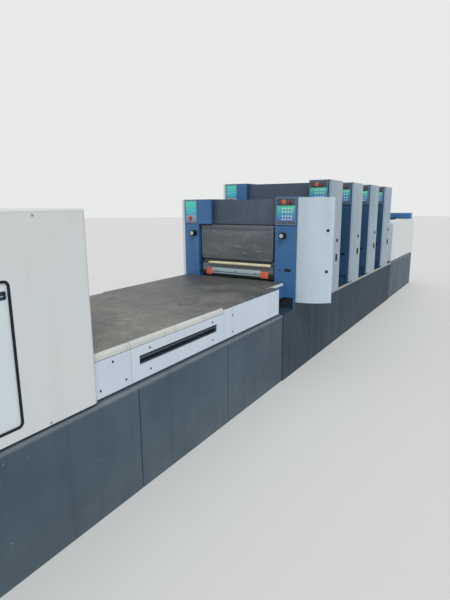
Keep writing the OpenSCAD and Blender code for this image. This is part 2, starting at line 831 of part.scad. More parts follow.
// Sloping feed table with tapes on it, from the pile down to the last unit, and
// the front wall that the pile stands against
table_z0 = 960;
table_z1 = 1150;
table_t = 30;
tape_w = 40;
tape_t = 3;
tape_pitch = 170;
front_lay = 25;
module feed_table() {
    x0 = x_feeder - niche_len;
    x1 = x_end - bay_len;
    slope = atan2(table_z1 - table_z0, x1 - x0);
    len = (x1 - x0 - front_lay / 2) / cos(slope);
    color("#8A9096") {
        along_y(-bay_half, bay_half) {
            translate([x0, table_z0]) rotate(slope) translate([0, -table_t]) square([len, table_t]);
            translate([x1 - front_lay, long_cover_z]) square([front_lay, table_z1 - long_cover_z]);
        }
        for (i = [-1.5:1:1.5]) along_y(i * tape_pitch - tape_w / 2, i * tape_pitch + tape_w / 2)
            translate([x0, table_z0]) rotate(slope)
                translate([tape_w, -tape_t]) square([len - 3 * tape_w, 2 * tape_t]);
    }
}

// Suction head over the pile's rear edge: body, rows of suckers and blower feet
head_back = 420;
head_x = x_end - head_back;
head_len = 160;
head_half = 330;
head_z0 = 1215;
head_r = 15;
sucker_r = 11;
sucker_h = 35;
sucker_pitch = 100;
module feeder_head() {
    color("#4A5462") along_y(-head_half, head_half)
        round_rect(head_x, head_z0, head_x + head_len, feeder_top, head_r);
    color("#9AA0A5") for (x = [head_x + 2 * sucker_r, head_x + head_len - 2 * sucker_r], i = [-2.5:1:2.5])
        translate([x, i * sucker_pitch, head_z0 - sucker_h]) {
            cylinder(r = sucker_r, h = sucker_h);
            cylinder(r = 2 * sucker_r, h = sucker_r);
        }
}

module feeder_pile_board() {
    pile_board(x_end - bay_len, x_end, table_z1);
}

// Bridge over the pile that carries the suction head
bridge_h = 110;
bridge_r = 25;
module feeder_bridge() {
    color("#3A6B9B") along_y(-end_half, end_half)
        round_rect(head_x, feeder_top, head_x + head_len, feeder_top + bridge_h, bridge_r);
}

base_delivery();
base_platform();
base_units();
base_feeder();
step_edges();
delivery_side(-1);  // delivery_side_near
delivery_side(1);  // delivery_side_far
delivery_hood();
delivery_inner_wall();
delivery_side_panel();
delivery_pile_board();
delivery_gripper_chains();
platform_deck();
platform_tread();
platform_nosing();
platform_covers();
footboards();
unit_hoods();
column_knobs();
control_panels();
drive_covers();
nip_guards();
first_guard();
unit_guards();
feeder_side(-1);  // feeder_side_near
feeder_side(1);  // feeder_side_far
feed_table();
feeder_head();
feeder_pile_board();
feeder_bridge();
for (k = [1:unit_count]) {
    unit_housing(k);
    unit_cylinders(k);
    unit_door(k);
}
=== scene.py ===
"""Looks of a five-unit sheet-fed offset printing press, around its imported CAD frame."""
import math

import bmesh
import bpy
from mathutils import Matrix, Vector


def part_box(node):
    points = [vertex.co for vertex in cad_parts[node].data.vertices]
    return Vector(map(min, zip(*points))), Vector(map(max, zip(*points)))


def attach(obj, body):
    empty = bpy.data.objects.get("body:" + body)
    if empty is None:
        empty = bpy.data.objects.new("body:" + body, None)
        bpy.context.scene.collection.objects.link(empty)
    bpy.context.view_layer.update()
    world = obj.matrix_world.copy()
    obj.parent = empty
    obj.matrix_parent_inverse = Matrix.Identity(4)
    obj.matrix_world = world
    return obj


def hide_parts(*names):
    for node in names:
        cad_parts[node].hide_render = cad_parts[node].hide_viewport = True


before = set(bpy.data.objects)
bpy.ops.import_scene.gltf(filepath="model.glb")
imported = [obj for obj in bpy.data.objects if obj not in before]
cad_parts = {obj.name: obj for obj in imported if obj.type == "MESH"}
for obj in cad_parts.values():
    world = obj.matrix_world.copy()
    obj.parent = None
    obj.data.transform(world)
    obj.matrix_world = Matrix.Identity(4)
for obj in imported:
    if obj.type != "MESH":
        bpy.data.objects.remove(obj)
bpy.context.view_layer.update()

# The press stands on a plain pale floor under soft light, seen at eye height from beside
# its delivery, on the operator's side, with a wide lens that looks along it.
EYE = Vector((-4.633, -2.2315, 1.58))
HEADING = math.radians(31.9)
PITCH = math.radians(-11.9)
ROLL = math.radians(-0.35)
LENS_MM = 27.06
scene = bpy.context.scene
scene.view_settings.view_transform = "Standard"

camera = bpy.data.objects.new("camera", bpy.data.cameras.new("camera"))
camera.data.lens = LENS_MM
camera.data.sensor_width = 36
camera.data.clip_end = 60
turn = Matrix.Rotation(HEADING - math.pi / 2, 4, "Z") @ Matrix.Rotation(math.pi / 2 + PITCH, 4, "X")
camera.matrix_world = Matrix.Translation(EYE) @ turn @ Matrix.Rotation(ROLL, 4, "Z")
scene.collection.objects.link(camera)
scene.camera = camera


def srgb(code):
    """Linear colour from an sRGB hex code such as #C6CBCD."""
    parts = [int(code[i:i + 2], 16) / 255 for i in (1, 3, 5)]
    return [p / 12.92 if p <= 0.04045 else ((p + 0.055) / 1.055) ** 2.4 for p in parts] + [1]


def add(tree, kind, inputs=None, **settings):
    """Adds one node: settings are its own properties, inputs are values or other nodes' sockets."""
    made = tree.nodes.new(kind)
    for name, value in settings.items():
        setattr(made, name, value)
    for name, value in (inputs or {}).items():
        if isinstance(value, bpy.types.NodeSocket):
            tree.links.new(value, made.inputs[name])
        else:
            made.inputs[name].default_value = value
    return made


# The world lights the press softly from all round and shows a pale backdrop.
LIGHT = "#FFFFFF"
BACKDROP = "#E9EAEA"
world = bpy.data.worlds.new("studio")
scene.world = world
world.use_nodes = True
tree = world.node_tree
tree.nodes.clear()
path = add(tree, "ShaderNodeLightPath")
seen = add(tree, "ShaderNodeMath", {0: path.outputs["Is Camera Ray"], 1: path.outputs["Is Glossy Ray"]},
           operation="ADD", use_clamp=True)
seen = add(tree, "ShaderNodeMath", {0: seen.outputs[0], 1: path.outputs["Is Transmission Ray"]},
           operation="ADD", use_clamp=True)
lit = add(tree, "ShaderNodeBackground", {"Color": srgb(LIGHT), "Strength": 0.62})
shown = add(tree, "ShaderNodeBackground", {"Color": srgb(BACKDROP), "Strength": 1.0})
mixed = add(tree, "ShaderNodeMixShader", {0: seen.outputs[0], 1: lit.outputs[0], 2: shown.outputs[0]})
add(tree, "ShaderNodeOutputWorld", {"Surface": mixed.outputs[0]})

# A broad key light from above the delivery, on the operator's side.
SUN_FROM = Vector((-0.62, -0.55, 0.9))
sun = bpy.data.objects.new("key_light", bpy.data.lights.new("key_light", "SUN"))
sun.data.energy = 1.5
sun.data.angle = math.radians(25)
sun.matrix_world = SUN_FROM.to_track_quat("Z", "Y").to_matrix().to_4x4()
scene.collection.objects.link(sun)

# Plain pale floor: flat ground in matt paint that reaches to the horizon, so that only
# the press's own shadow lies on it.
FLOOR_HALF = 60
mesh = bpy.data.meshes.new("floor")
bm = bmesh.new()
bmesh.ops.create_grid(bm, x_segments=1, y_segments=1, size=FLOOR_HALF)
bm.to_mesh(mesh)
bm.free()
floor = bpy.data.objects.new("floor", mesh)
scene.collection.objects.link(floor)
paint = bpy.data.materials.new("pale_floor")
paint.use_nodes = True
paint.node_tree.nodes["Principled BSDF"].inputs["Base Color"].default_value = srgb("#DADBDA")
paint.node_tree.nodes["Principled BSDF"].inputs["Roughness"].default_value = 0.9
mesh.materials.append(paint)

# Base: a long welded bed, closed on both sides with enamelled sheet panels. The
# panels hang under a rolled ledge and meet at narrow shadow gaps.
BED_COLOUR = "#405260"
WELD = 0.00002
COPLANAR = math.radians(0.3)
CREASE = math.radians(32)


def shader(name):
    """A new material, its node tree and its Principled shader."""
    material = bpy.data.materials.new(name)
    material.use_nodes = True
    return material, material.node_tree, material.node_tree.nodes["Principled BSDF"]


def enamel(name, colour, rubbed, grime, rough=0.38, dirt=0.35, chips=0.0, floor_dust=0.0, shine=0.5):
    """Enamel sprayed on sheet steel: it gives the eye an even coat with soft clouding, runs of
    dust down the upright faces, small chips and a light orange peel in its half gloss."""
    material, tree, skin = shader(name)
    place = add(tree, "ShaderNodeTexCoord").outputs["Object"]
    cloud = add(tree, "ShaderNodeTexNoise", {"Vector": place, "Scale": 2.1, "Detail": 6, "Roughness": 0.62})
    tone = add(tree, "ShaderNodeMapRange", {"Value": cloud.outputs["Fac"], "From Min": 0.38, "From Max": 0.7})
    coat = add(tree, "ShaderNodeMix", {0: tone.outputs[0], 6: srgb(colour), 7: srgb(rubbed)},
               data_type="RGBA")
    drawn = add(tree, "ShaderNodeMapping", {"Vector": place, "Scale": (11, 11, 0.8)})
    runs = add(tree, "ShaderNodeTexNoise", {"Vector": drawn.outputs[0], "Scale": 1, "Detail": 7,
                                            "Roughness": 0.7})
    dusty = add(tree, "ShaderNodeMapRange",
                {"Value": runs.outputs["Fac"], "From Min": 0.5, "From Max": 0.8, "To Max": dirt})
    coat = add(tree, "ShaderNodeMix", {0: dusty.outputs[0], 6: coat.outputs[2], 7: srgb(grime)},
               data_type="RGBA")
    if floor_dust:
        height = add(tree, "ShaderNodeSeparateXYZ", {0: place}).outputs["Z"]
        low = add(tree, "ShaderNodeMapRange", {"Value": height, "From Min": 0, "From Max": 0.3,
                                               "To Min": floor_dust, "To Max": 0})
        splash = add(tree, "ShaderNodeMath", {0: low.outputs[0], 1: cloud.outputs["Fac"]},
                     operation="MULTIPLY")
        coat = add(tree, "ShaderNodeMix", {0: splash.outputs[0], 6: coat.outputs[2], 7: srgb(FLOOR_DUST)},
                   data_type="RGBA")
    if chips:
        spots = add(tree, "ShaderNodeTexNoise", {"Vector": place, "Scale": 34, "Detail": 2})
        bare = add(tree, "ShaderNodeMapRange",
                   {"Value": spots.outputs["Fac"], "From Min": 0.74, "From Max": 0.77, "To Max": chips})
        coat = add(tree, "ShaderNodeMix", {0: bare.outputs[0], 6: coat.outputs[2], 7: srgb(CHIPPED)},
                   data_type="RGBA")
    tree.links.new(coat.outputs[2], skin.inputs["Base Color"])
    gloss = add(tree, "ShaderNodeMapRange", {"Value": runs.outputs["Fac"], "From Min": 0.3, "From Max": 0.75,
                                             "To Min": rough - 0.07, "To Max": rough + 0.12})
    tree.links.new(gloss.outputs[0], skin.inputs["Roughness"])
    skin.inputs["Specular IOR Level"].default_value = shine
    peel = add(tree, "ShaderNodeTexNoise", {"Vector": place, "Scale": PEEL, "Detail": 2})
    bump = add(tree, "ShaderNodeBump", {"Height": peel.outputs["Fac"], "Strength": 0.12, "Distance": 0.0006})
    tree.links.new(bump.outputs[0], skin.inputs["Normal"])
    return material


# Grains of about 7 mm: real orange peel is 1 or 2 mm, too fine to show from here.
PEEL = 140
FLOOR_DUST = "#8A857E"
CHIPPED = "#A9B0B4"
bed_enamel = enamel("bed_enamel", BED_COLOUR, "#4E616E", "#33414D", rough=0.55, dirt=0.35, chips=0.6,
                    floor_dust=0.2, shine=0.3)
ledge_enamel = enamel("ledge_enamel", "#5B6A76", "#717F8A", BED_COLOUR, rough=0.45, dirt=0.5, chips=0.7)
unit_bed_enamel = enamel("unit_bed_enamel", "#293B49", "#354653", "#222F39", rough=0.6, dirt=0.35,
                         chips=0.5, floor_dust=0.15, shine=0.2)


def islands(bm):
    """Groups of faces that hang together, each as a list."""
    waiting = set(bm.faces)
    while waiting:
        front = [waiting.pop()]
        group = []
        while front:
            face = front.pop()
            group.append(face)
            for edge in face.edges:
                for near in edge.link_faces:
                    if near in waiting:
                        waiting.remove(near)
                        front.append(near)
        yield group


def finished(name, bm, finishes, body="frame", edge=0.0):
    """Makes a piece of a bmesh: smooth where it is round, creased and rounded at its edges."""
    mesh = bpy.data.meshes.new(name)
    bm.to_mesh(mesh)
    bm.free()
    old = mesh.attributes.get("custom_normal")
    if old:
        mesh.attributes.remove(old)
    mesh.polygons.foreach_set("use_smooth", [True] * len(mesh.polygons))
    mesh.set_sharp_from_angle(angle=CREASE)
    for finish in finishes:
        mesh.materials.append(finish)
    made = bpy.data.objects.new(name, mesh)
    scene.collection.objects.link(made)
    if edge:
        rounding = made.modifiers.new("rounded_edges", "BEVEL")
        rounding.width = edge
        rounding.segments = 2
        rounding.limit_method = "ANGLE"
        rounding.angle_limit = CREASE
        rounding.harden_normals = True
    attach(made, body)
    return made


def dressed(node, finishes, body="frame", edge=0.002, pick=None):
    """A welded copy of a CAD node with rounded edges, which stands for it. pick gives the finish
    of a face, from the face and the lowest and highest corners of its own solid."""
    bm = bmesh.new()
    bm.from_mesh(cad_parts[node].data)
    bmesh.ops.remove_doubles(bm, verts=bm.verts, dist=WELD)
    bmesh.ops.dissolve_limit(bm, angle_limit=COPLANAR, verts=bm.verts, edges=bm.edges)
    bmesh.ops.connect_verts_concave(bm, faces=bm.faces)
    for group in islands(bm):
        points = [v.co for face in group for v in face.verts]
        low = Vector(min(p[i] for p in points) for i in range(3))
        high = Vector(max(p[i] for p in points) for i in range(3))
        for face in group:
            face.material_index = pick(face, low, high) if pick else 0
    made = finished(f"{node}_shell", bm, finishes, body, edge)
    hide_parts(node)
    return made


LEDGE_Z = (0.5985, 0.6225)
for node in ("base_delivery", "base_platform", "base_feeder"):
    dressed(node, [bed_enamel, ledge_enamel], edge=0.0015,
            pick=lambda face, low, high: 1 if LEDGE_Z[0] < face.calc_center_median().z < LEDGE_Z[1] else 0)
dressed("base_units", [unit_bed_enamel], edge=0.0015)

# Step edges: drawn aluminium angles screwed along the upper edge of the units' bed.
# Feet have rubbed them bright, and they mirror the light in a long soft line.


def drawn_metal(name, colour, rough, grain):
    """Drawn or turned metal: grain says how close its fine lines lie along each axis, and they
    widen its glints."""
    material, tree, skin = shader(name)
    place = add(tree, "ShaderNodeTexCoord").outputs["Object"]
    along = add(tree, "ShaderNodeMapping", {"Vector": place, "Scale": grain})
    lines = add(tree, "ShaderNodeTexNoise", {"Vector": along.outputs[0], "Scale": 1, "Detail": 4})
    darker = [part * 0.45 for part in srgb(colour)[:3]] + [1]
    tone = add(tree, "ShaderNodeMix", {0: lines.outputs["Fac"], 6: srgb(colour), 7: darker},
               data_type="RGBA")
    tree.links.new(tone.outputs[2], skin.inputs["Base Color"])
    skin.inputs["Metallic"].default_value = 1
    gloss = add(tree, "ShaderNodeMapRange", {"Value": lines.outputs["Fac"], "To Min": rough - 0.1,
                                             "To Max": rough + 0.15})
    tree.links.new(gloss.outputs[0], skin.inputs["Roughness"])
    bump = add(tree, "ShaderNodeBump", {"Height": lines.outputs["Fac"], "Strength": 0.15,
                                        "Distance": 0.0005})
    tree.links.new(bump.outputs[0], skin.inputs["Normal"])
    return material


drawn_aluminium = drawn_metal("drawn_aluminium", "#C9CDD0", 0.38, (2, 220, 220))
dressed("step_edges", [drawn_aluminium], edge=0.001)

# Delivery covers: off-white enamelled sheet housings on both sides and a rear wall. Years
# of hands have left them a little yellow and streaked.
white_enamel = enamel("white_enamel", "#D2D9DD", "#D4D6D5", "#AEB5BA", rough=0.34, dirt=0.3)
for node in ("delivery_side_near", "delivery_side_far", "delivery_inner_wall"):
    dressed(node, [white_enamel], edge=0.001)

# Roof and header: an off-white roof with rolled long edges, and under it a plain slate
# housing across the delivery's open end, over the pile.
slate_enamel = enamel("slate_enamel", "#424F5F", "#4C5C6D", "#333F4D", rough=0.42, dirt=0.4, chips=0.5)
# How near a face lies to a height that it is told by.
SLACK = 0.0005
roof_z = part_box("delivery_side_near")[1].z
dressed("delivery_hood", [white_enamel, slate_enamel], edge=0.001,
        pick=lambda face, low, high: 1 if face.calc_center_median().z < roof_z - SLACK else 0)

# Delivery panels: pale grey-green enamelled doors that lift out of the side covers. A
# black rubber profile seals each one, and it has a moulded dark blue grip at its corner.


def joined(bm, part, place=None, finish=None):
    """Adds one bmesh to another, at its place and with its finish, and frees it."""
    if finish is not None:
        for face in part.faces:
            face.material_index = finish
    if place is not None:
        bmesh.ops.transform(part, matrix=place, verts=part.verts)
    carrier = bpy.data.meshes.new("carrier")
    part.to_mesh(carrier)
    part.free()
    bm.from_mesh(carrier)
    bpy.data.meshes.remove(carrier)


def seat(point, normal):
    """Matrix that stands a shape made along Z on a point, with Z along the normal."""
    return Matrix.Translation(point) @ Vector(normal).to_track_quat("Z", "Y").to_matrix().to_4x4()


def block(bm, low, high, radius, finish=0):
    """A box between two corners with its edges rounded off."""
    part = bmesh.new()
    low, high = Vector(low), Vector(high)
    shape = Matrix.Translation((low + high) / 2) @ Matrix.Diagonal((*(high - low), 1))
    bmesh.ops.create_cube(part, size=1, matrix=shape)
    bmesh.ops.bevel(part, geom=part.edges[:], offset=radius, segments=2, profile=0.5,
                    affect="EDGES", material=-1)
    joined(bm, part, finish=finish)


def turned(bm, profile, place, finish=0, steps=24):
    """A turned piece: its profile lists radius and height from the seat up, and is spun round Z."""
    part = bmesh.new()
    verts = [part.verts.new((radius, 0, height)) for radius, height in profile]
    edges = [part.edges.new(pair) for pair in zip(verts, verts[1:])]
    bmesh.ops.spin(part, geom=verts + edges, cent=(0, 0, 0), axis=(0, 0, 1), angle=2 * math.pi,
                   steps=steps, use_merge=True)
    bmesh.ops.remove_doubles(part, verts=part.verts, dist=0.000001)
    bmesh.ops.recalc_face_normals(part, faces=part.faces)
    joined(bm, part, place, finish)


def plate(bm, width, height, radius, thick, place, ring=0.0, finish=0):
    """A thin plate with round corners, centred on its seat; ring leaves only a rim that wide."""
    part = bmesh.new()
    corners = [part.verts.new((x * width / 2, y * height / 2, 0))
               for x, y in ((-1, -1), (1, -1), (1, 1), (-1, 1))]
    part.faces.new(corners)
    bmesh.ops.bevel(part, geom=corners, offset=radius, segments=6, profile=0.5, affect="VERTICES",
                    material=-1)
    if ring:
        rim = bmesh.ops.inset_region(part, faces=part.faces[:], thickness=ring, use_boundary=True,
                                     use_even_offset=True)["faces"]
        bmesh.ops.delete(part, geom=[face for face in part.faces if face not in rim], context="FACES")
    grown = bmesh.ops.extrude_face_region(part, geom=part.faces[:])["geom"]
    top = [item for item in grown if isinstance(item, bmesh.types.BMVert)]
    bmesh.ops.translate(part, vec=(0, 0, thick), verts=top)
    bmesh.ops.recalc_face_normals(part, faces=part.faces)
    joined(bm, part, place, finish)


def moulded(name, colour, rough, grain=900, shine=0.5):
    """Moulded plastic or rubber: one colour all through, with a fine eroded skin and a few
    rubbed places, which give it a soft uneven sheen."""
    material, tree, skin = shader(name)
    place = add(tree, "ShaderNodeTexCoord").outputs["Object"]
    cloud = add(tree, "ShaderNodeTexNoise", {"Vector": place, "Scale": 30, "Detail": 4})
    darker = [part * 0.8 for part in srgb(colour)[:3]] + [1]
    tone = add(tree, "ShaderNodeMix", {0: cloud.outputs["Fac"], 6: srgb(colour), 7: darker},
               data_type="RGBA")
    tree.links.new(tone.outputs[2], skin.inputs["Base Color"])
    gloss = add(tree, "ShaderNodeMapRange", {"Value": cloud.outputs["Fac"], "From Min": 0.3, "From Max": 0.7,
                                             "To Min": rough - 0.06, "To Max": rough + 0.08})
    tree.links.new(gloss.outputs[0], skin.inputs["Roughness"])
    pits = add(tree, "ShaderNodeTexNoise", {"Vector": place, "Scale": grain, "Detail": 1})
    bump = add(tree, "ShaderNodeBump", {"Height": pits.outputs["Fac"], "Strength": 0.1, "Distance": 0.0003})
    tree.links.new(bump.outputs[0], skin.inputs["Normal"])
    skin.inputs["Specular IOR Level"].default_value = shine
    return material


panel_enamel = enamel("panel_enamel", "#D3DFE1", "#D0DBE3", "#B1BCC0", rough=0.3, dirt=0.25)
dressed("delivery_side_panel", [panel_enamel], edge=0.0015)
nitrile_rubber = moulded("nitrile_rubber", "#1B2127", 0.75, shine=0.25)
grip_plastic = moulded("grip_plastic", "#27384A", 0.42)
pale_plastic = moulded("pale_plastic", "#B9C4CB", 0.4)
PROFILE_W = 0.011
PROFILE_R = 0.025
PROFILE_IN = 0.004
PROFILE_OUT = 0.0025
PROFILE_LAP = 0.001
GROOVE = 0.006
GRIP_L = 0.13
GRIP_H = 0.033
GRIP_R = 0.0055
GRIP_GAP = 0.001
GRIP_IN = 0.011
GRIP_FROM_EDGE = 0.01
GRIP_FROM_TOP = 0.0525
panel_low, panel_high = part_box("delivery_side_panel")
side_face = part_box("delivery_side_far")[1].y
middle = (panel_low + panel_high) / 2
size = panel_high - panel_low
profile_l = size.x + 2 * (GROOVE + PROFILE_LAP)
profile_h = size.z + 2 * (GROOVE + PROFILE_LAP)
grip_cup = (GRIP_L - GRIP_GAP, GRIP_H - GRIP_GAP, GRIP_R)
for side, name in ((-1, "near"), (1, "far")):
    normal = (0, side, 0)
    bm = bmesh.new()
    plate(bm, profile_l, profile_h, PROFILE_R, PROFILE_IN + PROFILE_OUT,
          seat((middle.x, side * (side_face - PROFILE_IN), middle.z), normal), ring=PROFILE_W)
    finished(f"delivery_panel_profile_{name}", bm, [nitrile_rubber], edge=0.0018)
    bm = bmesh.new()
    grip = Vector((panel_high.x - GRIP_FROM_EDGE - GRIP_L / 2, side * (side_face - GRIP_IN),
                   panel_high.z - GRIP_FROM_TOP))
    plate(bm, *grip_cup, 0.0015, seat(grip, normal))
    plate(bm, *grip_cup, 0.0085, seat(grip, normal), ring=0.003)
    plate(bm, GRIP_L * 0.86, 0.004, 0.0015, 0.0035,
          seat(grip + Vector((0, 0, -0.003)), normal), finish=1)
    finished(f"delivery_panel_grip_{name}", bm, [grip_plastic, pale_plastic], edge=0.0006)

# Delivery screws: chromed steel button heads with a socket, in the near and far sides.
# They hold the side covers on the delivery's frame.
BUTTON = [(0, 0.0009), (0.0024, 0.0009), (0.0026, 0.003), (0.0043, 0.0028), (0.006, 0.0016),
          (0.0066, -0.001)]
DELIVERY_SCREW_X = (-0.275, -0.95, -1.6)
DELIVERY_SCREW_Z = (0.651, 1.545)
chromed_steel = drawn_metal("chromed_steel", "#D2D5D6", 0.2, (60, 60, 60))
x_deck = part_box("platform_deck")[0].x
bm = bmesh.new()
for x in DELIVERY_SCREW_X:
    for side in (-1, 1):
        for z in DELIVERY_SCREW_Z:
            turned(bm, BUTTON, seat((x_deck + x, side * side_face, z), (0, side, 0)), steps=12)
finished("delivery_screws", bm, [chromed_steel])

# Platform covers: three cool white enamelled sheets a side, held on the deck's edge by
# blackened steel screws. The middle one has a long grip slot with a rail behind it.
cover_enamel = enamel("cover_enamel", "#C5D3E1", "#CCD8E4", "#A4B1C1", rough=0.33, dirt=0.3, chips=0.4)
dressed("platform_covers", [cover_enamel], edge=0.0015)
COVER_SCREWS = [(0.034, 0.68), (0.126, 0.806), (0.214, 0.68), (0.409, 0.804), (0.409, 0.679),
                (1.045, 0.803), (1.045, 0.679), (1.309, 0.8), (1.309, 0.675)]
cover_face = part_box("platform_covers")[1].y
# Blackening leaves steel with the dull, even skin that moulded plastic has.
blackened_steel = moulded("blackened_steel", "#181C21", 0.42, shine=0.3)
bm = bmesh.new()
for x, z in COVER_SCREWS:
    for side in (-1, 1):
        turned(bm, BUTTON, seat((x_deck + x, side * cover_face, z), (0, side, 0)), steps=12)
finished("platform_cover_screws", bm, [blackened_steel])

# Deck: dark painted steel plate under the tread. It shows inside the grip slots, where
# dust has settled on the rail. The wall that closes its end is painted like the units.
deck_paint = enamel("deck_paint", "#404B57", "#535E69", "#2F3842", rough=0.55, dirt=0.4)
blue_enamel = enamel("blue_enamel", "#37689B", "#3F72A2", "#224A73", rough=0.4, dirt=0.4, chips=0.5)
# Near-black paint for the toe recesses and sills: painted shade, for the shadow that lies in them.
toe_shade_paint = enamel("toe_shade_paint", "#1E262E", "#2A333C", "#15191E", rough=0.6, dirt=0.3)
NICHE_Y = 0.515
TOE_Z = 0.731
cover_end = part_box("platform_covers")[1].x


def niche_finish(face, low, high):
    """The wall under the narrow board is blue like the units; its toe recess is painted near-black as shade.
    """
    centre = face.calc_center_median()
    if abs(centre.y) > NICHE_Y or centre.x < cover_end:
        return 0
    return 2 if centre.z < TOE_Z else 1


dressed("platform_deck", [deck_paint, blue_enamel, toe_shade_paint], edge=0.0, pick=niche_finish)

# Edge strips: rolled cream strips along the tread, worn through to grey in places, and a
# flat white one on the narrow board beside the first unit.
STRIP_LAP = 0.2
nosing_enamel = enamel("nosing_enamel", "#CBCECB", "#C0C5C2", "#8B908D", rough=0.42, dirt=0.7, chips=0.6)
dressed("platform_nosing", [nosing_enamel, white_enamel], edge=0.0008,
        pick=lambda face, low, high: 1 if low.x > cover_end - STRIP_LAP else 0)

# Tread: pressed rubber matting, glued over the whole platform and over the footboards
# between the units, which are painted steel plates.


def matting(name, dusty, oily, stain, worn_from, worn_to):
    """Pressed rubber matting glued to the deck: low pips in rows, drawn 30 mm apart where the
    real ones are finer, each pip painted lighter and the ground between darker as their highlight
    and shade, under a rippled tone that is partly wear and partly painted shade of an uneven
    surface. Dust greys it by the delivery and ink and oil darken it by the units."""
    material, tree, skin = shader(name)
    place = add(tree, "ShaderNodeTexCoord").outputs["Object"]
    along = add(tree, "ShaderNodeSeparateXYZ", {0: place}).outputs["X"]
    cloud = add(tree, "ShaderNodeTexNoise", {"Vector": place, "Scale": 3.2, "Detail": 9, "Roughness": 0.66})
    walked = add(tree, "ShaderNodeMapRange", {"Value": along, "From Min": worn_from, "From Max": worn_to,
                                              "To Min": -0.16, "To Max": 0.34})
    wear = add(tree, "ShaderNodeMath", {0: cloud.outputs["Fac"], 1: walked.outputs[0]}, operation="ADD")
    tone = add(tree, "ShaderNodeMapRange", {"Value": wear.outputs[0], "From Min": 0.3, "From Max": 0.82})
    coat = add(tree, "ShaderNodeMix", {0: tone.outputs[0], 6: srgb(dusty), 7: srgb(oily)}, data_type="RGBA")
    wet = add(tree, "ShaderNodeMapping", {"Vector": place, "Location": (1.7, 0.4, 0), "Scale": (5, 8, 1)})
    drops = add(tree, "ShaderNodeTexNoise", {"Vector": wet.outputs[0], "Scale": 1, "Detail": 4,
                                             "Distortion": 0.8})
    stained = add(tree, "ShaderNodeMapRange", {"Value": drops.outputs["Fac"], "From Min": 0.64,
                                               "From Max": 0.7, "To Max": 0.5})
    coat = add(tree, "ShaderNodeMix", {0: stained.outputs[0], 6: coat.outputs[2], 7: srgb(stain)},
               data_type="RGBA")
    scraped = add(tree, "ShaderNodeMapRange", {"Value": drops.outputs["Fac"], "From Min": 0.31,
                                               "From Max": 0.27, "To Max": 0.3})
    coat = add(tree, "ShaderNodeMix", {0: scraped.outputs[0], 6: coat.outputs[2], 7: srgb("#B4AFA4")},
               data_type="RGBA")
    rows = add(tree, "ShaderNodeTexWave", {"Vector": place, "Scale": PIP_SCALE}, bands_direction="X")
    ranks = add(tree, "ShaderNodeTexWave", {"Vector": place, "Scale": PIP_SCALE}, bands_direction="Y")
    pips = add(tree, "ShaderNodeMath", {0: rows.outputs["Fac"], 1: ranks.outputs["Fac"]},
               operation="MULTIPLY")
    # Painted highlight and shade: the pips are lighter than the ground between them.
    shade = add(tree, "ShaderNodeMapRange", {"Value": pips.outputs[0], "To Min": 0.84, "To Max": 1.24})
    ripple = add(tree, "ShaderNodeTexNoise", {"Vector": place, "Scale": RIPPLE, "Detail": 5,
                                              "Roughness": 0.7})
    # Partly painted shade: the ripple lightens and darkens the rubber as an uneven, walked-in surface would
    # be lit.
    worn = add(tree, "ShaderNodeMapRange", {"Value": ripple.outputs["Fac"], "From Min": 0.3, "From Max": 0.7,
                                            "To Min": 0.74, "To Max": 1.22})
    shade = add(tree, "ShaderNodeMath", {0: shade.outputs[0], 1: worn.outputs[0]}, operation="MULTIPLY")
    lit = add(tree, "ShaderNodeHueSaturation", {"Color": coat.outputs[2], "Value": shade.outputs[0]})
    tree.links.new(lit.outputs[0], skin.inputs["Base Color"])
    gloss = add(tree, "ShaderNodeMapRange", {"Value": tone.outputs[0], "To Min": 0.78, "To Max": 0.5})
    tree.links.new(gloss.outputs[0], skin.inputs["Roughness"])
    bump = add(tree, "ShaderNodeBump", {"Height": pips.outputs[0], "Strength": 0.5, "Distance": 0.0012})
    tree.links.new(bump.outputs[0], skin.inputs["Normal"])
    return material


PIP_PITCH = 0.03
# A wave texture of scale 1 comes back every pi / 10 metres.
PIP_SCALE = math.pi / 10 / PIP_PITCH
# Ripples of about 50 mm, as wide as the heels that made them.
RIPPLE = 19
x_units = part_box("platform_deck")[1].x
tread_rubber = matting("tread_rubber", "#868681", "#4C4E4F", "#3A3C3D", x_deck, x_units)
# The sheet on the platform keeps its own mesh.
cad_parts["platform_tread"].data.materials.clear()
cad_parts["platform_tread"].data.materials.append(tread_rubber)
tread_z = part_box("platform_tread")[0].z
board_paint = enamel("board_paint", "#41454A", "#54585C", "#303338", rough=0.5, dirt=0.4)
dressed("footboards", [board_paint, tread_rubber], edge=0.001,
        pick=lambda face, low, high: 1 if face.calc_center_median().z > tread_z - SLACK else 0)

# Side housings of the five units: enamelled in mid blue over cast side frames. The near
# one is open behind its door, and the far one carries a box at the header's end.
UNITS = sorted([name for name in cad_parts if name.endswith("_housing")],
               key=lambda name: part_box(name)[0].x)
unit_boxes = [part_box(name) for name in UNITS]
TOE_X = (0.001, 0.0145)
SILL_Z = 0.7
CHEEK_H = 0.3


def housing_finish(face, low, high):
    """Blue, with near-black sills, and a near-black toe recess in the first unit: both painted shade.
    The toe recesses of the other units, the columns that face another unit and the inner cheek of the far box
    are painted a darker blue as shade."""
    centre = face.calc_center_median()
    near = centre.y < 0
    first = low.x < unit_boxes[0][1].x
    if near and low.x + TOE_X[0] < centre.x < low.x + TOE_X[1] and centre.z < TOE_Z:
        return 1 if first else 2
    if near and centre.z < SILL_Z and (face.normal.z > 0.9 or face.normal.y < -0.9):
        return 1
    column = near and face.normal.x < -0.5 and not first
    cheek = not near and face.normal.y < -0.9 and centre.z > high.z - CHEEK_H
    return 2 if column or cheek else 0


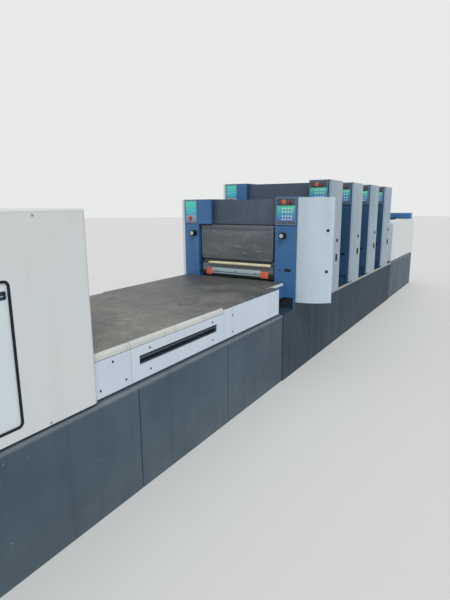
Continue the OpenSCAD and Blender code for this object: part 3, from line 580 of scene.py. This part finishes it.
# A darker copy of the blue enamel: painted shade, for faces hidden behind other units or under the header.
shaded_blue_enamel = enamel("shaded_blue_enamel", "#264B70", "#2C5378", "#1B3A58", rough=0.5, dirt=0.4, chips=0.4)
for name in UNITS:
    dressed(name, [blue_enamel, toe_shade_paint, shaded_blue_enamel], edge=0.003, pick=housing_finish)

# Hoods: slate enamelled sheet folded over each unit's inking rollers, with a plain header
# in front and a lid over the ink fountain.
dressed("unit_hoods", [slate_enamel], edge=0.003)

# Drive-side covers: off-white enamelled sheets, one for each unit, with a recessed grip.
# They are screwed to the far housings, over the gears.
dressed("drive_covers", [white_enamel], edge=0.003)

# Air valves on the front columns: black moulded caps with a milled rim and a white push
# face that has a dark centre.
black_phenolic = moulded("black_phenolic", "#17191C", 0.36)
white_abs = moulded("white_abs", "#E6E7E6", 0.38)
dark_abs = moulded("dark_abs", "#3B4048", 0.45)
CAP_R = 0.031
CAP_FOOT = [(0, 0), (CAP_R, 0), (CAP_R, 0.0065), (0.0305, 0.008), (0.0285, 0.0084), (0.0285, 0.052),
            (0.0268, 0.0538), (0.0184, 0.0538), (0.0178, 0.051), (0, 0.051)]
FACE = [(0, 0.0495), (0.0176, 0.0495), (0.0176, 0.0521), (0.016, 0.0535), (0.006, 0.0535), (0, 0.0535)]
DOT = [(0, 0.0525), (0.0062, 0.0525), (0.0062, 0.0537), (0, 0.0539)]
RIDGES = 24
RIDGE_AT = Matrix.Translation((0.0279, 0, 0.03))
OUT = (-1, 0, 0)
caps_low, caps_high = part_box("column_knobs")
cap_z = (caps_low.z + caps_high.z) / 2
bm = bmesh.new()
for low, high in unit_boxes:
    for y in (caps_low.y + CAP_R, caps_high.y - CAP_R):
        place = seat((low.x, y, cap_z), OUT)
        turned(bm, CAP_FOOT, place)
        turned(bm, FACE, place, finish=1)
        turned(bm, DOT, place, finish=2, steps=12)
        for i in range(RIDGES):
            turn = Matrix.Rotation(2 * math.pi * i / RIDGES, 4, "Z")
            ridge = bmesh.new()
            bmesh.ops.create_cone(ridge, cap_ends=True, segments=6, radius1=0.0014, radius2=0.0011,
                                  depth=0.036, matrix=RIDGE_AT)
            joined(bm, ridge, place @ turn)
caps = finished("column_caps", bm, [black_phenolic, white_abs, dark_abs])
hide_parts("column_knobs")

# Key panels: a light blue-grey frame at each end of the header, with printed foils, a row
# of lamps, white keys and mushroom buttons. The far one has a keypad and one button.


def foil(name, colour, deep, low_z, high_z):
    """Printed polyester foil round the keys: a satin colour that deepens downwards."""
    material, tree, skin = shader(name)
    place = add(tree, "ShaderNodeTexCoord").outputs["Object"]
    height = add(tree, "ShaderNodeSeparateXYZ", {0: place}).outputs["Z"]
    tone = add(tree, "ShaderNodeMapRange", {"Value": height, "From Min": low_z, "From Max": high_z})
    printed = add(tree, "ShaderNodeMix", {0: tone.outputs[0], 6: srgb(deep), 7: srgb(colour)},
                  data_type="RGBA")
    wear = add(tree, "ShaderNodeTexNoise", {"Vector": place, "Scale": 45, "Detail": 4})
    rubbed = add(tree, "ShaderNodeMapRange", {"Value": wear.outputs["Fac"], "From Min": 0.6,
                                              "From Max": 0.72, "To Max": 0.25})
    worn = add(tree, "ShaderNodeMix", {0: rubbed.outputs[0], 6: printed.outputs[2], 7: srgb("#B7C6CB")},
               data_type="RGBA")
    tree.links.new(worn.outputs[2], skin.inputs["Base Color"])
    skin.inputs["Roughness"].default_value = 0.42
    return material


def field(bm, x, across, top, drops, proud, finish=0):
    """A strip of foil between two drops that stands a little proud of the set-back field."""
    block(bm, (x - proud, across[0], top - drops[0]), (x + FOIL_IN, across[1], top - drops[1]),
          FOIL_R, finish)


def key(bm, x, y, z, half_w, half_h, proud, radius, finish=0):
    """A key or plate centred on a point of the panel, with its edges rounded off."""
    block(bm, (x - proud, y - half_w, z - half_h), (x, y + half_w, z + half_h), radius, finish)


frame_enamel = enamel("frame_enamel", "#5C7385", "#6B8294", "#42566A", rough=0.42, dirt=0.3)
dressed("control_panels", [frame_enamel], edge=0.0012)
stop_red = moulded("stop_red", "#A8262B", 0.3)
stop_yellow = moulded("stop_yellow", "#D9A53A", 0.4)
lamp_orange = moulded("lamp_orange", "#D9583A", 0.3)
lamp_green = moulded("lamp_green", "#7FB28A", 0.3)
band_foil = moulded("band_foil", "#46535F", 0.5)
button_plate = moulded("button_plate", "#A8A2B4", 0.5)
MUSHROOM = [(0, 0), (0.011, 0), (0.011, 0.006), (0.017, 0.009), (0.0185, 0.0125), (0.015, 0.0155),
            (0, 0.0165)]
SMALL_MUSHROOM = [(r * 0.72, h * 0.8) for r, h in MUSHROOM]
LAMP = [(0, 0), (0.0032, 0), (0.0032, 0.0012), (0.0018, 0.0022), (0, 0.0025)]
YELLOW_DISC = [(0, 0), (0.022, 0), (0.022, 0.0015), (0, 0.0015)]
BLACK_DISC = [(0, 0), (0.0165, 0), (0.0165, 0.0015), (0, 0.0015)]
STOP_DISC = [(0, 0), (0.026, 0), (0.026, 0.003), (0, 0.003)]
PANEL_FLOOR = 0.005
FOIL_OUT = 0.0008
FOIL_IN = 0.002
FOIL_R = 0.0002
BAND_OUT = 0.0006
MID_Y = -0.51
HALF_FIELD = 0.094
FIELD_Y = (MID_Y - HALF_FIELD, MID_Y + HALF_FIELD)
KEYS_Y = MID_Y - 0.059
LAMPS_Y = MID_Y - 0.07
BUTTON_Y = MID_Y + 0.018
RED_Y = MID_Y - 0.038
PAD_EDGE = 0.0125
PAD_W = 0.1325
PAD_KEYS_IN = 0.022
# Half width, half height, how far it stands out, and the radius of its edges.
KEY = (0.0075, 0.007, 0.0035, 0.0014)
PAD_KEY = (0.0155, 0.0105, 0.0028, 0.0012)
STOP_PLATE = (0.034, 0.029, 0.0016, 0.0006)
# Drops are measured down from the top of a unit's housing.
BUTTON_BAND = (0.079, 0.018)
TEAL_FIELD = (0.157, 0.08)
BLUE_FIELD = (0.222, 0.158)
LAMP_BAND = (0.238, 0.223)
PALE_FIELD = (0.165, 0.018)
LILAC_FIELD = (0.238, 0.166)
BUTTON_DROP = 0.048
RED_DROP = 0.052
KEY_DROPS = (0.106, 0.136, 0.174, 0.201)
LAMP_DROP = 0.2305
KEYPAD_DROP = 0.036
STOP_DROP = 0.199
KEY_PITCH = 0.0287
LAMP_PITCH = 0.028
PAD_PITCH = (0.038, 0.0275)
pad_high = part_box("control_panels")[1].y - PAD_EDGE
pad_low = pad_high - PAD_W
for number, (low, high) in enumerate(unit_boxes, 1):
    top = high.z
    x = low.x - PANEL_FLOOR
    teal_foil = foil(f"teal_foil_{number}", "#50C9AE", "#46AFC2", top - 0.157, top - 0.08)
    blue_foil = foil(f"blue_foil_{number}", "#469ACB", "#5670B4", top - 0.222, top - 0.157)
    pale_foil = foil(f"pale_foil_{number}", "#5ADCC0", "#50BEDC", top - 0.165, top - 0.03)
    lilac_foil = foil(f"lilac_foil_{number}", "#58AAD8", "#8E8FC0", top - 0.235, top - 0.166)
    bm = bmesh.new()
    field(bm, x, FIELD_Y, top, BUTTON_BAND, BAND_OUT)
    field(bm, x, FIELD_Y, top, TEAL_FIELD, FOIL_OUT, finish=1)
    field(bm, x, FIELD_Y, top, BLUE_FIELD, FOIL_OUT, finish=2)
    field(bm, x, FIELD_Y, top, LAMP_BAND, BAND_OUT)
    for drop in KEY_DROPS:
        for column in range(4):
            key(bm, x, KEYS_Y + KEY_PITCH * column, top - drop, *KEY, finish=3)
    for column in range(6):
        place = seat((x, LAMPS_Y + LAMP_PITCH * column, top - LAMP_DROP), OUT)
        turned(bm, LAMP, place, finish=6 if column % 2 else 7, steps=10)
    place = seat((x, BUTTON_Y, top - BUTTON_DROP), OUT)
    turned(bm, YELLOW_DISC, place, finish=5)
    turned(bm, MUSHROOM, place, finish=6)
    place = seat((x, RED_Y, top - RED_DROP), OUT)
    turned(bm, BLACK_DISC, place, finish=8)
    turned(bm, SMALL_MUSHROOM, place, finish=4)
    finished(f"unit_{number}_keys", bm, [band_foil, teal_foil, blue_foil, white_abs, stop_red, stop_yellow,
                                         lamp_orange, lamp_green, black_phenolic])
    bm = bmesh.new()
    field(bm, x, (pad_low, pad_high), top, PALE_FIELD, FOIL_OUT)
    field(bm, x, (pad_low, pad_high), top, LILAC_FIELD, BAND_OUT, finish=1)
    for row in range(5):
        for column in range(3):
            key(bm, x, pad_low + PAD_KEYS_IN + PAD_PITCH[0] * column,
                top - KEYPAD_DROP - PAD_PITCH[1] * row, *PAD_KEY)
    middle = (x, (pad_low + pad_high) / 2, top - STOP_DROP)
    key(bm, *middle, *STOP_PLATE, finish=2)
    turned(bm, STOP_DISC, seat(middle, OUT), finish=3)
    turned(bm, MUSHROOM, seat(middle, OUT), finish=4)
    finished(f"unit_{number}_keypad", bm, [pale_foil, lilac_foil, button_plate, stop_yellow, stop_red])

# Latches in the front columns: a dark blue moulded cup with a black pull in the near
# column's recess, and small plugged holes beside it and on the far column. The cup's dark
# blue is painted shade: the column's blue as it looks inside its recess.
# Width, height and corner radius of a plate.
LATCH = (0.0694, 0.0274, 0.0125)
PULL = (0.03, 0.014, 0.005)
PULL_AT = Matrix.Translation((0.014, -0.003, 0))
LATCH_IN = 0.0088
LATCH_Y = -0.541
LATCH_Z = 0.985
PLUGS = ((-0.461, 0.981), (0.485, 0.976))
bm = bmesh.new()
for low, high in unit_boxes:
    place = seat((low.x + LATCH_IN, LATCH_Y, LATCH_Z), OUT)
    plate(bm, *LATCH, 0.0006, place)
    plate(bm, *LATCH, 0.009, place, ring=0.003)
    plate(bm, *PULL, 0.006, place @ PULL_AT, finish=1)
    for y, z in PLUGS:
        turned(bm, BUTTON, seat((low.x, y, z), OUT), finish=1, steps=12)
# Painted shade: the cup is the column's blue as it looks in the recess's shade.
shaded_latch_plastic = moulded("shaded_latch_plastic", "#1D3853", 0.5)
finished("column_latches", bm, [shaded_latch_plastic, black_phenolic], edge=0.0005)

# Side doors: bowed off-white sheets on a full-length hinge, with turned-in edges, black
# locks and a long pull. The first stands open, and the closed ones are painted greyer
# as the shade that they stand in.
door_enamel = enamel("door_enamel", "#BECED9", "#B4C6D3", "#95A7B5", rough=0.34, dirt=0.35, chips=0.35)
# Painted shade: the closed doors get a greyer copy of the door enamel.
shaded_door_enamel = enamel("shaded_door_enamel", "#99AAB5", "#8D9FAD", "#6C7F93", rough=0.42, dirt=0.5)
LOCK = [(0, 0.001), (0.005, 0.001), (0.005, 0.0035), (0.0115, 0.0045), (0.0142, 0.003),
        (0.0148, -0.002)]
WIDE_LOCK = [(r * 1.4, h * 1.5) for r, h in LOCK]
LONG_PULL = (0.034, 0.074, 0.0105)
FIRST_DOOR_W = 0.315
DOOR_W = 0.38
# Each fitting's distance from the hinge and its height from the floor.
FIRST_LOCKS = ((0.26, 1.353), (0.26, 0.986))
LOCK_AT = (0.158, 1.2)
LONG_PULL_AT = (0.155, 1.017)
PLUG_AT = (0.235, 0.957)
HINGE_IN = 0.009
DOOR_BOW = 0.035
DOOR_T = 0.018
DOOR_GAP_Y = 0.005
OPEN = math.radians(-64)
hinge_y = unit_boxes[0][0].y + HINGE_IN


def on_door(k, width, along, height):
    """Matrix that seats a fitting on the outer skin of door k, along from its hinge."""
    radius = width * width / (8 * DOOR_BOW) + DOOR_BOW / 2
    centre = Vector((width / 2, DOOR_GAP_Y + radius - DOOR_BOW, 0))
    out = Vector((along - centre.x, -math.sqrt((radius + DOOR_T) ** 2 - (along - centre.x) ** 2), 0))
    swing = Matrix.Rotation(OPEN if k == 1 else 0, 4, "Z")
    hinge = Matrix.Translation((unit_boxes[k - 1][0].x + HINGE_IN, hinge_y, 0))
    return hinge @ swing @ seat(centre + out + Vector((0, 0, height)), out)


for k in range(1, len(UNITS) + 1):
    dressed(f"unit_{k}_door", [door_enamel if k == 1 else shaded_door_enamel], body=f"door_{k}",
            edge=0.0008)
    bm = bmesh.new()
    if k == 1:
        for lock_at in FIRST_LOCKS:
            turned(bm, LOCK, on_door(k, FIRST_DOOR_W, *lock_at), steps=20)
    else:
        turned(bm, WIDE_LOCK, on_door(k, DOOR_W, *LOCK_AT), steps=20)
        place = on_door(k, DOOR_W, *LONG_PULL_AT)
        plate(bm, *LONG_PULL, 0.0025, place)
        plate(bm, *LONG_PULL, 0.0065, place, ring=0.004)
        turned(bm, BUTTON, on_door(k, DOOR_W, *PLUG_AT), steps=12)
    finished(f"door_{k}_locks", bm, [black_phenolic], body=f"door_{k}", edge=0.0006)

# Nip guards: a pale yellow painted rod and a grey-green flat bar with orange end blocks
# keep hands out of the lowest nip. Thin steel pins hold both in the columns.
rod_enamel = enamel("rod_enamel", "#D9D3A0", "#DEDAB6", "#A6A079", rough=0.45, dirt=0.5, chips=0.5)
bar_enamel = enamel("bar_enamel", "#A2B8BD", "#B0C3C7", "#7F9398", rough=0.42, dirt=0.35, chips=0.6)
block_enamel = enamel("block_enamel", "#DD6748", "#E37A5C", "#9C4634", rough=0.42, dirt=0.45, chips=0.4)
pin_steel = drawn_metal("pin_steel", "#4C5357", 0.45, (90, 90, 90))
X_ROD = 0.014
ROD_Z = 1.01
ROD_R = 0.015
ROD_Y = (-0.364, 0.34)
ROD = [(0, ROD_Y[0]), (ROD_R - 0.003, ROD_Y[0]), (ROD_R, ROD_Y[0] + 0.004), (ROD_R, ROD_Y[1] - 0.12),
       (ROD_R * 0.93, ROD_Y[1] - 0.06), (ROD_R * 0.75, ROD_Y[1] - 0.012), (ROD_R * 0.5, ROD_Y[1]),
       (0, ROD_Y[1])]
PIN_R = 0.007
PIN_Y = [corner.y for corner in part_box("nip_guards")]
PIN_Z = 0.921
PIN = [(0, PIN_Y[0]), (PIN_R, PIN_Y[0]), (PIN_R, PIN_Y[1]), (0, PIN_Y[1])]
BAR_Y = (-0.257, 0.297)
BAR_Z = (0.903, 0.96)
BAR_SCREWS_Y = (BAR_Y[0] + 0.05, 0.02, BAR_Y[1] - 0.05)
BAR_SCREW_Z = 0.932
HALF_BAR = 0.006
HALF_CORE = 0.0055
CORE_Z = (PIN_Z - HALF_CORE, PIN_Z + HALF_CORE)
BLOCK_Y = (-0.34, 0.36)
CORE_Y = (BLOCK_Y[0] - 0.002, BLOCK_Y[1] + 0.002)
BLOCK_Z = (0.89, 0.952)
BLOCK_SCREW_Z = 0.938
HALF_BLOCK = 0.014
BLOCK_GAP = 0.0003
for number, (low, high) in enumerate(unit_boxes, 1):
    x = low.x + X_ROD
    across = seat((x, 0, ROD_Z), (0, 1, 0))
    bm = bmesh.new()
    turned(bm, ROD, across)
    turned(bm, PIN, across, finish=1, steps=16)
    rod = finished(f"unit_{number}_nip_rod", bm, [rod_enamel, pin_steel])
    bm = bmesh.new()
    block(bm, (x - HALF_BAR, BAR_Y[0], BAR_Z[0]), (x + HALF_BAR, BAR_Y[1], BAR_Z[1]), 0.0012)
    for y in BAR_SCREWS_Y:
        turned(bm, BUTTON, seat((x - HALF_BAR, y, BAR_SCREW_Z), OUT), finish=1, steps=12)
    block(bm, (x - HALF_CORE, CORE_Y[0], CORE_Z[0]), (x + HALF_CORE, CORE_Y[1], CORE_Z[1]), 0.001, finish=1)
    turned(bm, PIN, seat((x, 0, PIN_Z), (0, 1, 0)), finish=1, steps=16)
    finished(f"unit_{number}_nip_bar", bm, [bar_enamel, pin_steel])
    bm = bmesh.new()
    for y0, y1 in ((BLOCK_Y[0], BAR_Y[0]), (BAR_Y[1], BLOCK_Y[1])):
        block(bm, (x - HALF_BLOCK, y0 + BLOCK_GAP, BLOCK_Z[0]),
              (x + HALF_BLOCK, y1 - BLOCK_GAP, BLOCK_Z[1]), 0.0035)
        turned(bm, BUTTON, seat((x - HALF_BLOCK, (y0 + y1) / 2, BLOCK_SCREW_Z), OUT), finish=1, steps=12)
    finished(f"unit_{number}_nip_blocks", bm, [block_enamel, pin_steel])
    if number == 1:
        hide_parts("nip_guards")

# Front guards: a clear sheet that hangs from a grey bar under the header, in a frame of
# folded grey strips. The first one swings up; the others stay down.


def dusty_sheet(name):
    """Clear polycarbonate that has hung for years in ink mist: a grey film with wiped smears
    and milky scuffs and scratches, through which the rollers show darkly."""
    material, tree, skin = shader(name)
    place = add(tree, "ShaderNodeTexCoord").outputs["Object"]
    wide = add(tree, "ShaderNodeMapping", {"Vector": place, "Scale": (1, 4, 10)})
    smears = add(tree, "ShaderNodeTexNoise", {"Vector": wide.outputs[0], "Scale": 1, "Detail": 7,
                                              "Roughness": 0.62, "Distortion": 0.5})
    wiped = add(tree, "ShaderNodeMapRange", {"Value": smears.outputs["Fac"], "From Min": 0.42,
                                             "From Max": 0.74})
    film = add(tree, "ShaderNodeMix", {0: wiped.outputs[0], 6: srgb("#656B72"), 7: srgb("#7A8087")},
               data_type="RGBA")
    drawn = add(tree, "ShaderNodeMapping", {"Vector": place, "Scale": (1, 6, 24)})
    rubbed = add(tree, "ShaderNodeTexNoise", {"Vector": drawn.outputs[0], "Scale": 1, "Detail": 6,
                                              "Roughness": 0.75})
    milky = add(tree, "ShaderNodeMapRange", {"Value": rubbed.outputs["Fac"], "From Min": 0.56,
                                             "From Max": 0.68, "To Max": 0.75})
    film = add(tree, "ShaderNodeMix", {0: milky.outputs[0], 6: film.outputs[2], 7: srgb("#9DA3A9")},
               data_type="RGBA")
    thin = add(tree, "ShaderNodeMapping", {"Vector": place, "Rotation": (0.9, 0, 0), "Scale": (1, 30, 3)})
    cuts = add(tree, "ShaderNodeTexNoise", {"Vector": thin.outputs[0], "Scale": 1, "Detail": 3})
    scratched = add(tree, "ShaderNodeMapRange", {"Value": cuts.outputs["Fac"], "From Min": 0.69,
                                                 "From Max": 0.74, "To Max": 0.5})
    film = add(tree, "ShaderNodeMix", {0: scratched.outputs[0], 6: film.outputs[2], 7: srgb("#B4B6B8")},
               data_type="RGBA")
    tree.links.new(film.outputs[2], skin.inputs["Base Color"])
    cover = add(tree, "ShaderNodeMapRange", {"Value": smears.outputs["Fac"], "From Min": 0.35,
                                             "From Max": 0.75, "To Min": 0.74, "To Max": 0.86})
    tree.links.new(cover.outputs[0], skin.inputs["Alpha"])
    gloss = add(tree, "ShaderNodeMapRange", {"Value": smears.outputs["Fac"], "To Min": 0.25, "To Max": 0.6})
    tree.links.new(gloss.outputs[0], skin.inputs["Roughness"])
    return material


dusty_polycarbonate = dusty_sheet("dusty_polycarbonate")
guard_metal = enamel("guard_metal", "#555B61", "#646A70", "#3A3F45", rough=0.5, dirt=0.5)
GUARD_IN = 0.02
GUARD_SIDE = 0.025
GUARD_R = 0.0097
BAR_END = 0.0003
GUARD_BAR = [(0, PIN_Y[0] + BAR_END), (GUARD_R, PIN_Y[0] + BAR_END), (GUARD_R, PIN_Y[1] - BAR_END),
             (0, PIN_Y[1] - BAR_END)]
CLAMP_H = 0.026
STRIP_H = 0.016
STRIP_OUT = 0.0012
STRIP_IN = 0.0058
FOLD_IN = 0.0135
FOLD_T = 0.005
STRIP_R = 0.0012
STILE_W = 0.012
SHEET_X = (0.0005, 0.0045)
CLAMP_SCREWS = 7
SCREWS_IN = 0.05
SCREW_DROP = 0.024
SMALL_BUTTON = [(r * 0.8, h * 0.8) for r, h in BUTTON]
first_low, first_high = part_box("first_guard")
y0 = PIN_Y[0] + GUARD_SIDE
y1 = PIN_Y[1] - GUARD_SIDE
z0 = first_low.z
for number, (low, high) in enumerate(unit_boxes, 1):
    x = low.x + GUARD_IN
    front = x - STRIP_OUT
    back = x + STRIP_IN
    bar_z = first_high.z - GUARD_R + high.z - unit_boxes[0][1].z
    bm = bmesh.new()
    block(bm, (x + SHEET_X[0], y0, z0), (x + SHEET_X[1], y1, bar_z - 0.002), 0.0008)
    turned(bm, GUARD_BAR, seat((x + 0.01, 0, bar_z), (0, 1, 0)), finish=1, steps=20)
    block(bm, (x - 0.002, y0, bar_z - 0.012 - CLAMP_H), (x + 0.007, y1, bar_z - 0.006), STRIP_R, finish=1)
    block(bm, (front, y0, z0 - 0.0002), (x + FOLD_IN, y1, z0 + FOLD_T), STRIP_R, finish=1)
    block(bm, (front, y0, z0), (back, y1, z0 + STRIP_H), STRIP_R, finish=1)
    for y in (y0, y1 - STILE_W):
        block(bm, (front, y, z0), (back, y + STILE_W, bar_z - 0.01), STRIP_R, finish=1)
    for i in range(CLAMP_SCREWS):
        y = y0 + SCREWS_IN + i * (y1 - y0 - 2 * SCREWS_IN) / (CLAMP_SCREWS - 1)
        turned(bm, SMALL_BUTTON, seat((x - 0.002, y, bar_z - SCREW_DROP), OUT), finish=2, steps=10)
    guard = finished(f"unit_{number}_guard", bm, [dusty_polycarbonate, guard_metal, pin_steel],
                     body="guard" if number == 1 else "frame")
    if number < 3:
        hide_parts("first_guard" if number == 1 else "unit_guards")

# Cylinders and rollers: a ground impression cylinder, a grey rubber blanket, an aluminium
# plate, and black rubber and steel rollers for ink and water, all on steel journals.


def ground_metal(name, colour, rough, film, stripes=70):
    """Ground or brushed metal, oiled: fine rings round an axis that lies across the press, or
    lines along a flat piece, under a brown-grey film of old ink."""
    material, tree, skin = shader(name)
    place = add(tree, "ShaderNodeTexCoord").outputs["Object"]
    rings = add(tree, "ShaderNodeMapping", {"Vector": place, "Scale": (0, stripes, 0)})
    lines = add(tree, "ShaderNodeTexNoise", {"Vector": rings.outputs[0], "Scale": 1, "Detail": 6})
    cloud = add(tree, "ShaderNodeTexNoise", {"Vector": place, "Scale": 7, "Detail": 6})
    inked = add(tree, "ShaderNodeMapRange", {"Value": cloud.outputs["Fac"], "From Min": 0.42,
                                             "From Max": 0.75, "To Max": 0.8})
    tone = add(tree, "ShaderNodeMix", {0: inked.outputs[0], 6: srgb(colour), 7: srgb(film)}, data_type="RGBA")
    tree.links.new(tone.outputs[2], skin.inputs["Base Color"])
    skin.inputs["Metallic"].default_value = 0.9
    gloss = add(tree, "ShaderNodeMapRange", {"Value": lines.outputs["Fac"], "From Min": 0.3, "From Max": 0.7,
                                             "To Min": rough - 0.08, "To Max": rough + 0.12})
    tree.links.new(gloss.outputs[0], skin.inputs["Roughness"])
    bump = add(tree, "ShaderNodeBump", {"Height": lines.outputs["Fac"], "Strength": 0.12, "Distance": 0.0004})
    tree.links.new(bump.outputs[0], skin.inputs["Normal"])
    return material


journal_steel = ground_metal("journal_steel", "#A3A9AC", 0.3, "#5A564F")
plate_aluminium = ground_metal("plate_aluminium", "#A9B2B1", 0.42, "#5F6A6C")
blanket_rubber = moulded("blanket_rubber", "#7F8891", 0.6, grain=300)
roller_rubber = moulded("roller_rubber", "#23262B", 0.45, grain=300)
drum_steel = ground_metal("drum_steel", "#7D7468", 0.35, "#34302C")
BODY_Y = (PIN_Y[0] + GUARD_SIDE, PIN_Y[1] - GUARD_SIDE)
CYLINDER_D = 0.2
DRUM_D = 0.07
SHAFT_D = 0.05
BLANKET_LOW_Z = 0.75
PLATE_LOW_Z = 1.0


def roller_finish(face, low, high):
    """Bearing parts and shafts are steel; a body's finish follows from its size and height."""
    y = face.calc_center_median().y
    diameter = high.z - low.z
    if not BODY_Y[0] < y < BODY_Y[1] or diameter < SHAFT_D:
        return 0
    if diameter > CYLINDER_D:
        return 0 if low.z < BLANKET_LOW_Z else 2 if low.z < PLATE_LOW_Z else 1
    return 4 if diameter > DRUM_D else 3


for number in range(1, len(UNITS) + 1):
    dressed(f"unit_{number}_cylinders",
            [journal_steel, plate_aluminium, blanket_rubber, roller_rubber, drum_steel],
            edge=0.0, pick=roller_finish)

# Feeder: off-white side housings with a grooved panel, a sloping steel feed table with
# tapes, and a slate suction head that hangs from a blue bridge over the pile.
for node in ("feeder_side_near", "feeder_side_far"):
    dressed(node, [white_enamel], edge=0.002)
dressed("feeder_bridge", [blue_enamel], edge=0.003)
brushed_steel = ground_metal("brushed_steel", "#A2A8AC", 0.36, "#7A7C7C", stripes=140)
feed_tape = moulded("feed_tape", "#2E3235", 0.75, grain=500)
table_low, table_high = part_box("feed_table")
SUCKER_TOP = 1.2149
FEED_LOW_Z = 0.96
FEED_HIGH_Z = 1.15
TAPE_CLEAR = 0.0012


def on_tape(face, low, high):
    """Tapes stand a little above the table's slope."""
    centre = face.calc_center_median()
    slope = (FEED_HIGH_Z - FEED_LOW_Z) / (table_high.x - table_low.x)
    table_z = FEED_LOW_Z + slope * (centre.x - table_low.x)
    return 1 if centre.z > table_z + TAPE_CLEAR and face.normal.z > 0.5 else 0


dressed("feed_table", [brushed_steel, feed_tape], edge=0.0, pick=on_tape)
dressed("feeder_head", [slate_enamel, roller_rubber], edge=0.0,
        pick=lambda face, low, high: 1 if face.calc_center_median().z < SUCKER_TOP else 0)

# Pile boards: worn birch plywood on skids, held by steel lugs on the lifting chains. The
# pallets that they carry have rubbed them dark.


def plywood(name):
    """Worn birch plywood: pale brown with long straight grain along its boards, rubbed dark
    by pallets and oily hands."""
    material, tree, skin = shader(name)
    place = add(tree, "ShaderNodeTexCoord").outputs["Object"]
    along = add(tree, "ShaderNodeMapping", {"Vector": place, "Scale": (2.2, 45, 45)})
    grain = add(tree, "ShaderNodeTexNoise", {"Vector": along.outputs[0], "Scale": 1, "Detail": 8,
                                             "Distortion": 0.6})
    tone = add(tree, "ShaderNodeMix", {0: grain.outputs["Fac"], 6: srgb("#7B6041"), 7: srgb("#AE8F66")},
               data_type="RGBA")
    cloud = add(tree, "ShaderNodeTexNoise", {"Vector": place, "Scale": 5, "Detail": 5})
    rubbed = add(tree, "ShaderNodeMapRange", {"Value": cloud.outputs["Fac"], "From Min": 0.5,
                                              "From Max": 0.8, "To Max": 0.7})
    tone = add(tree, "ShaderNodeMix", {0: rubbed.outputs[0], 6: tone.outputs[2], 7: srgb("#54432F")},
               data_type="RGBA")
    tree.links.new(tone.outputs[2], skin.inputs["Base Color"])
    skin.inputs["Roughness"].default_value = 0.72
    bump = add(tree, "ShaderNodeBump", {"Height": grain.outputs["Fac"], "Strength": 0.25, "Distance": 0.001})
    tree.links.new(bump.outputs[0], skin.inputs["Normal"])
    return material


birch_plywood = plywood("birch_plywood")
chain_steel = ground_metal("chain_steel", "#6E7173", 0.45, "#2F2C29")
BOARD_HALF = 0.4102
for node in ("delivery_pile_board", "feeder_pile_board"):
    dressed(node, [birch_plywood, chain_steel], edge=0.0,
            pick=lambda face, low, high: 1 if abs(face.calc_center_median().y) > BOARD_HALF else 0)

# Gripper chains: oily steel loops that run round sprockets on both sides of the pile, with
# bars across them that lay the printed sheets on it.
dressed("delivery_gripper_chains", [chain_steel], edge=0.0)
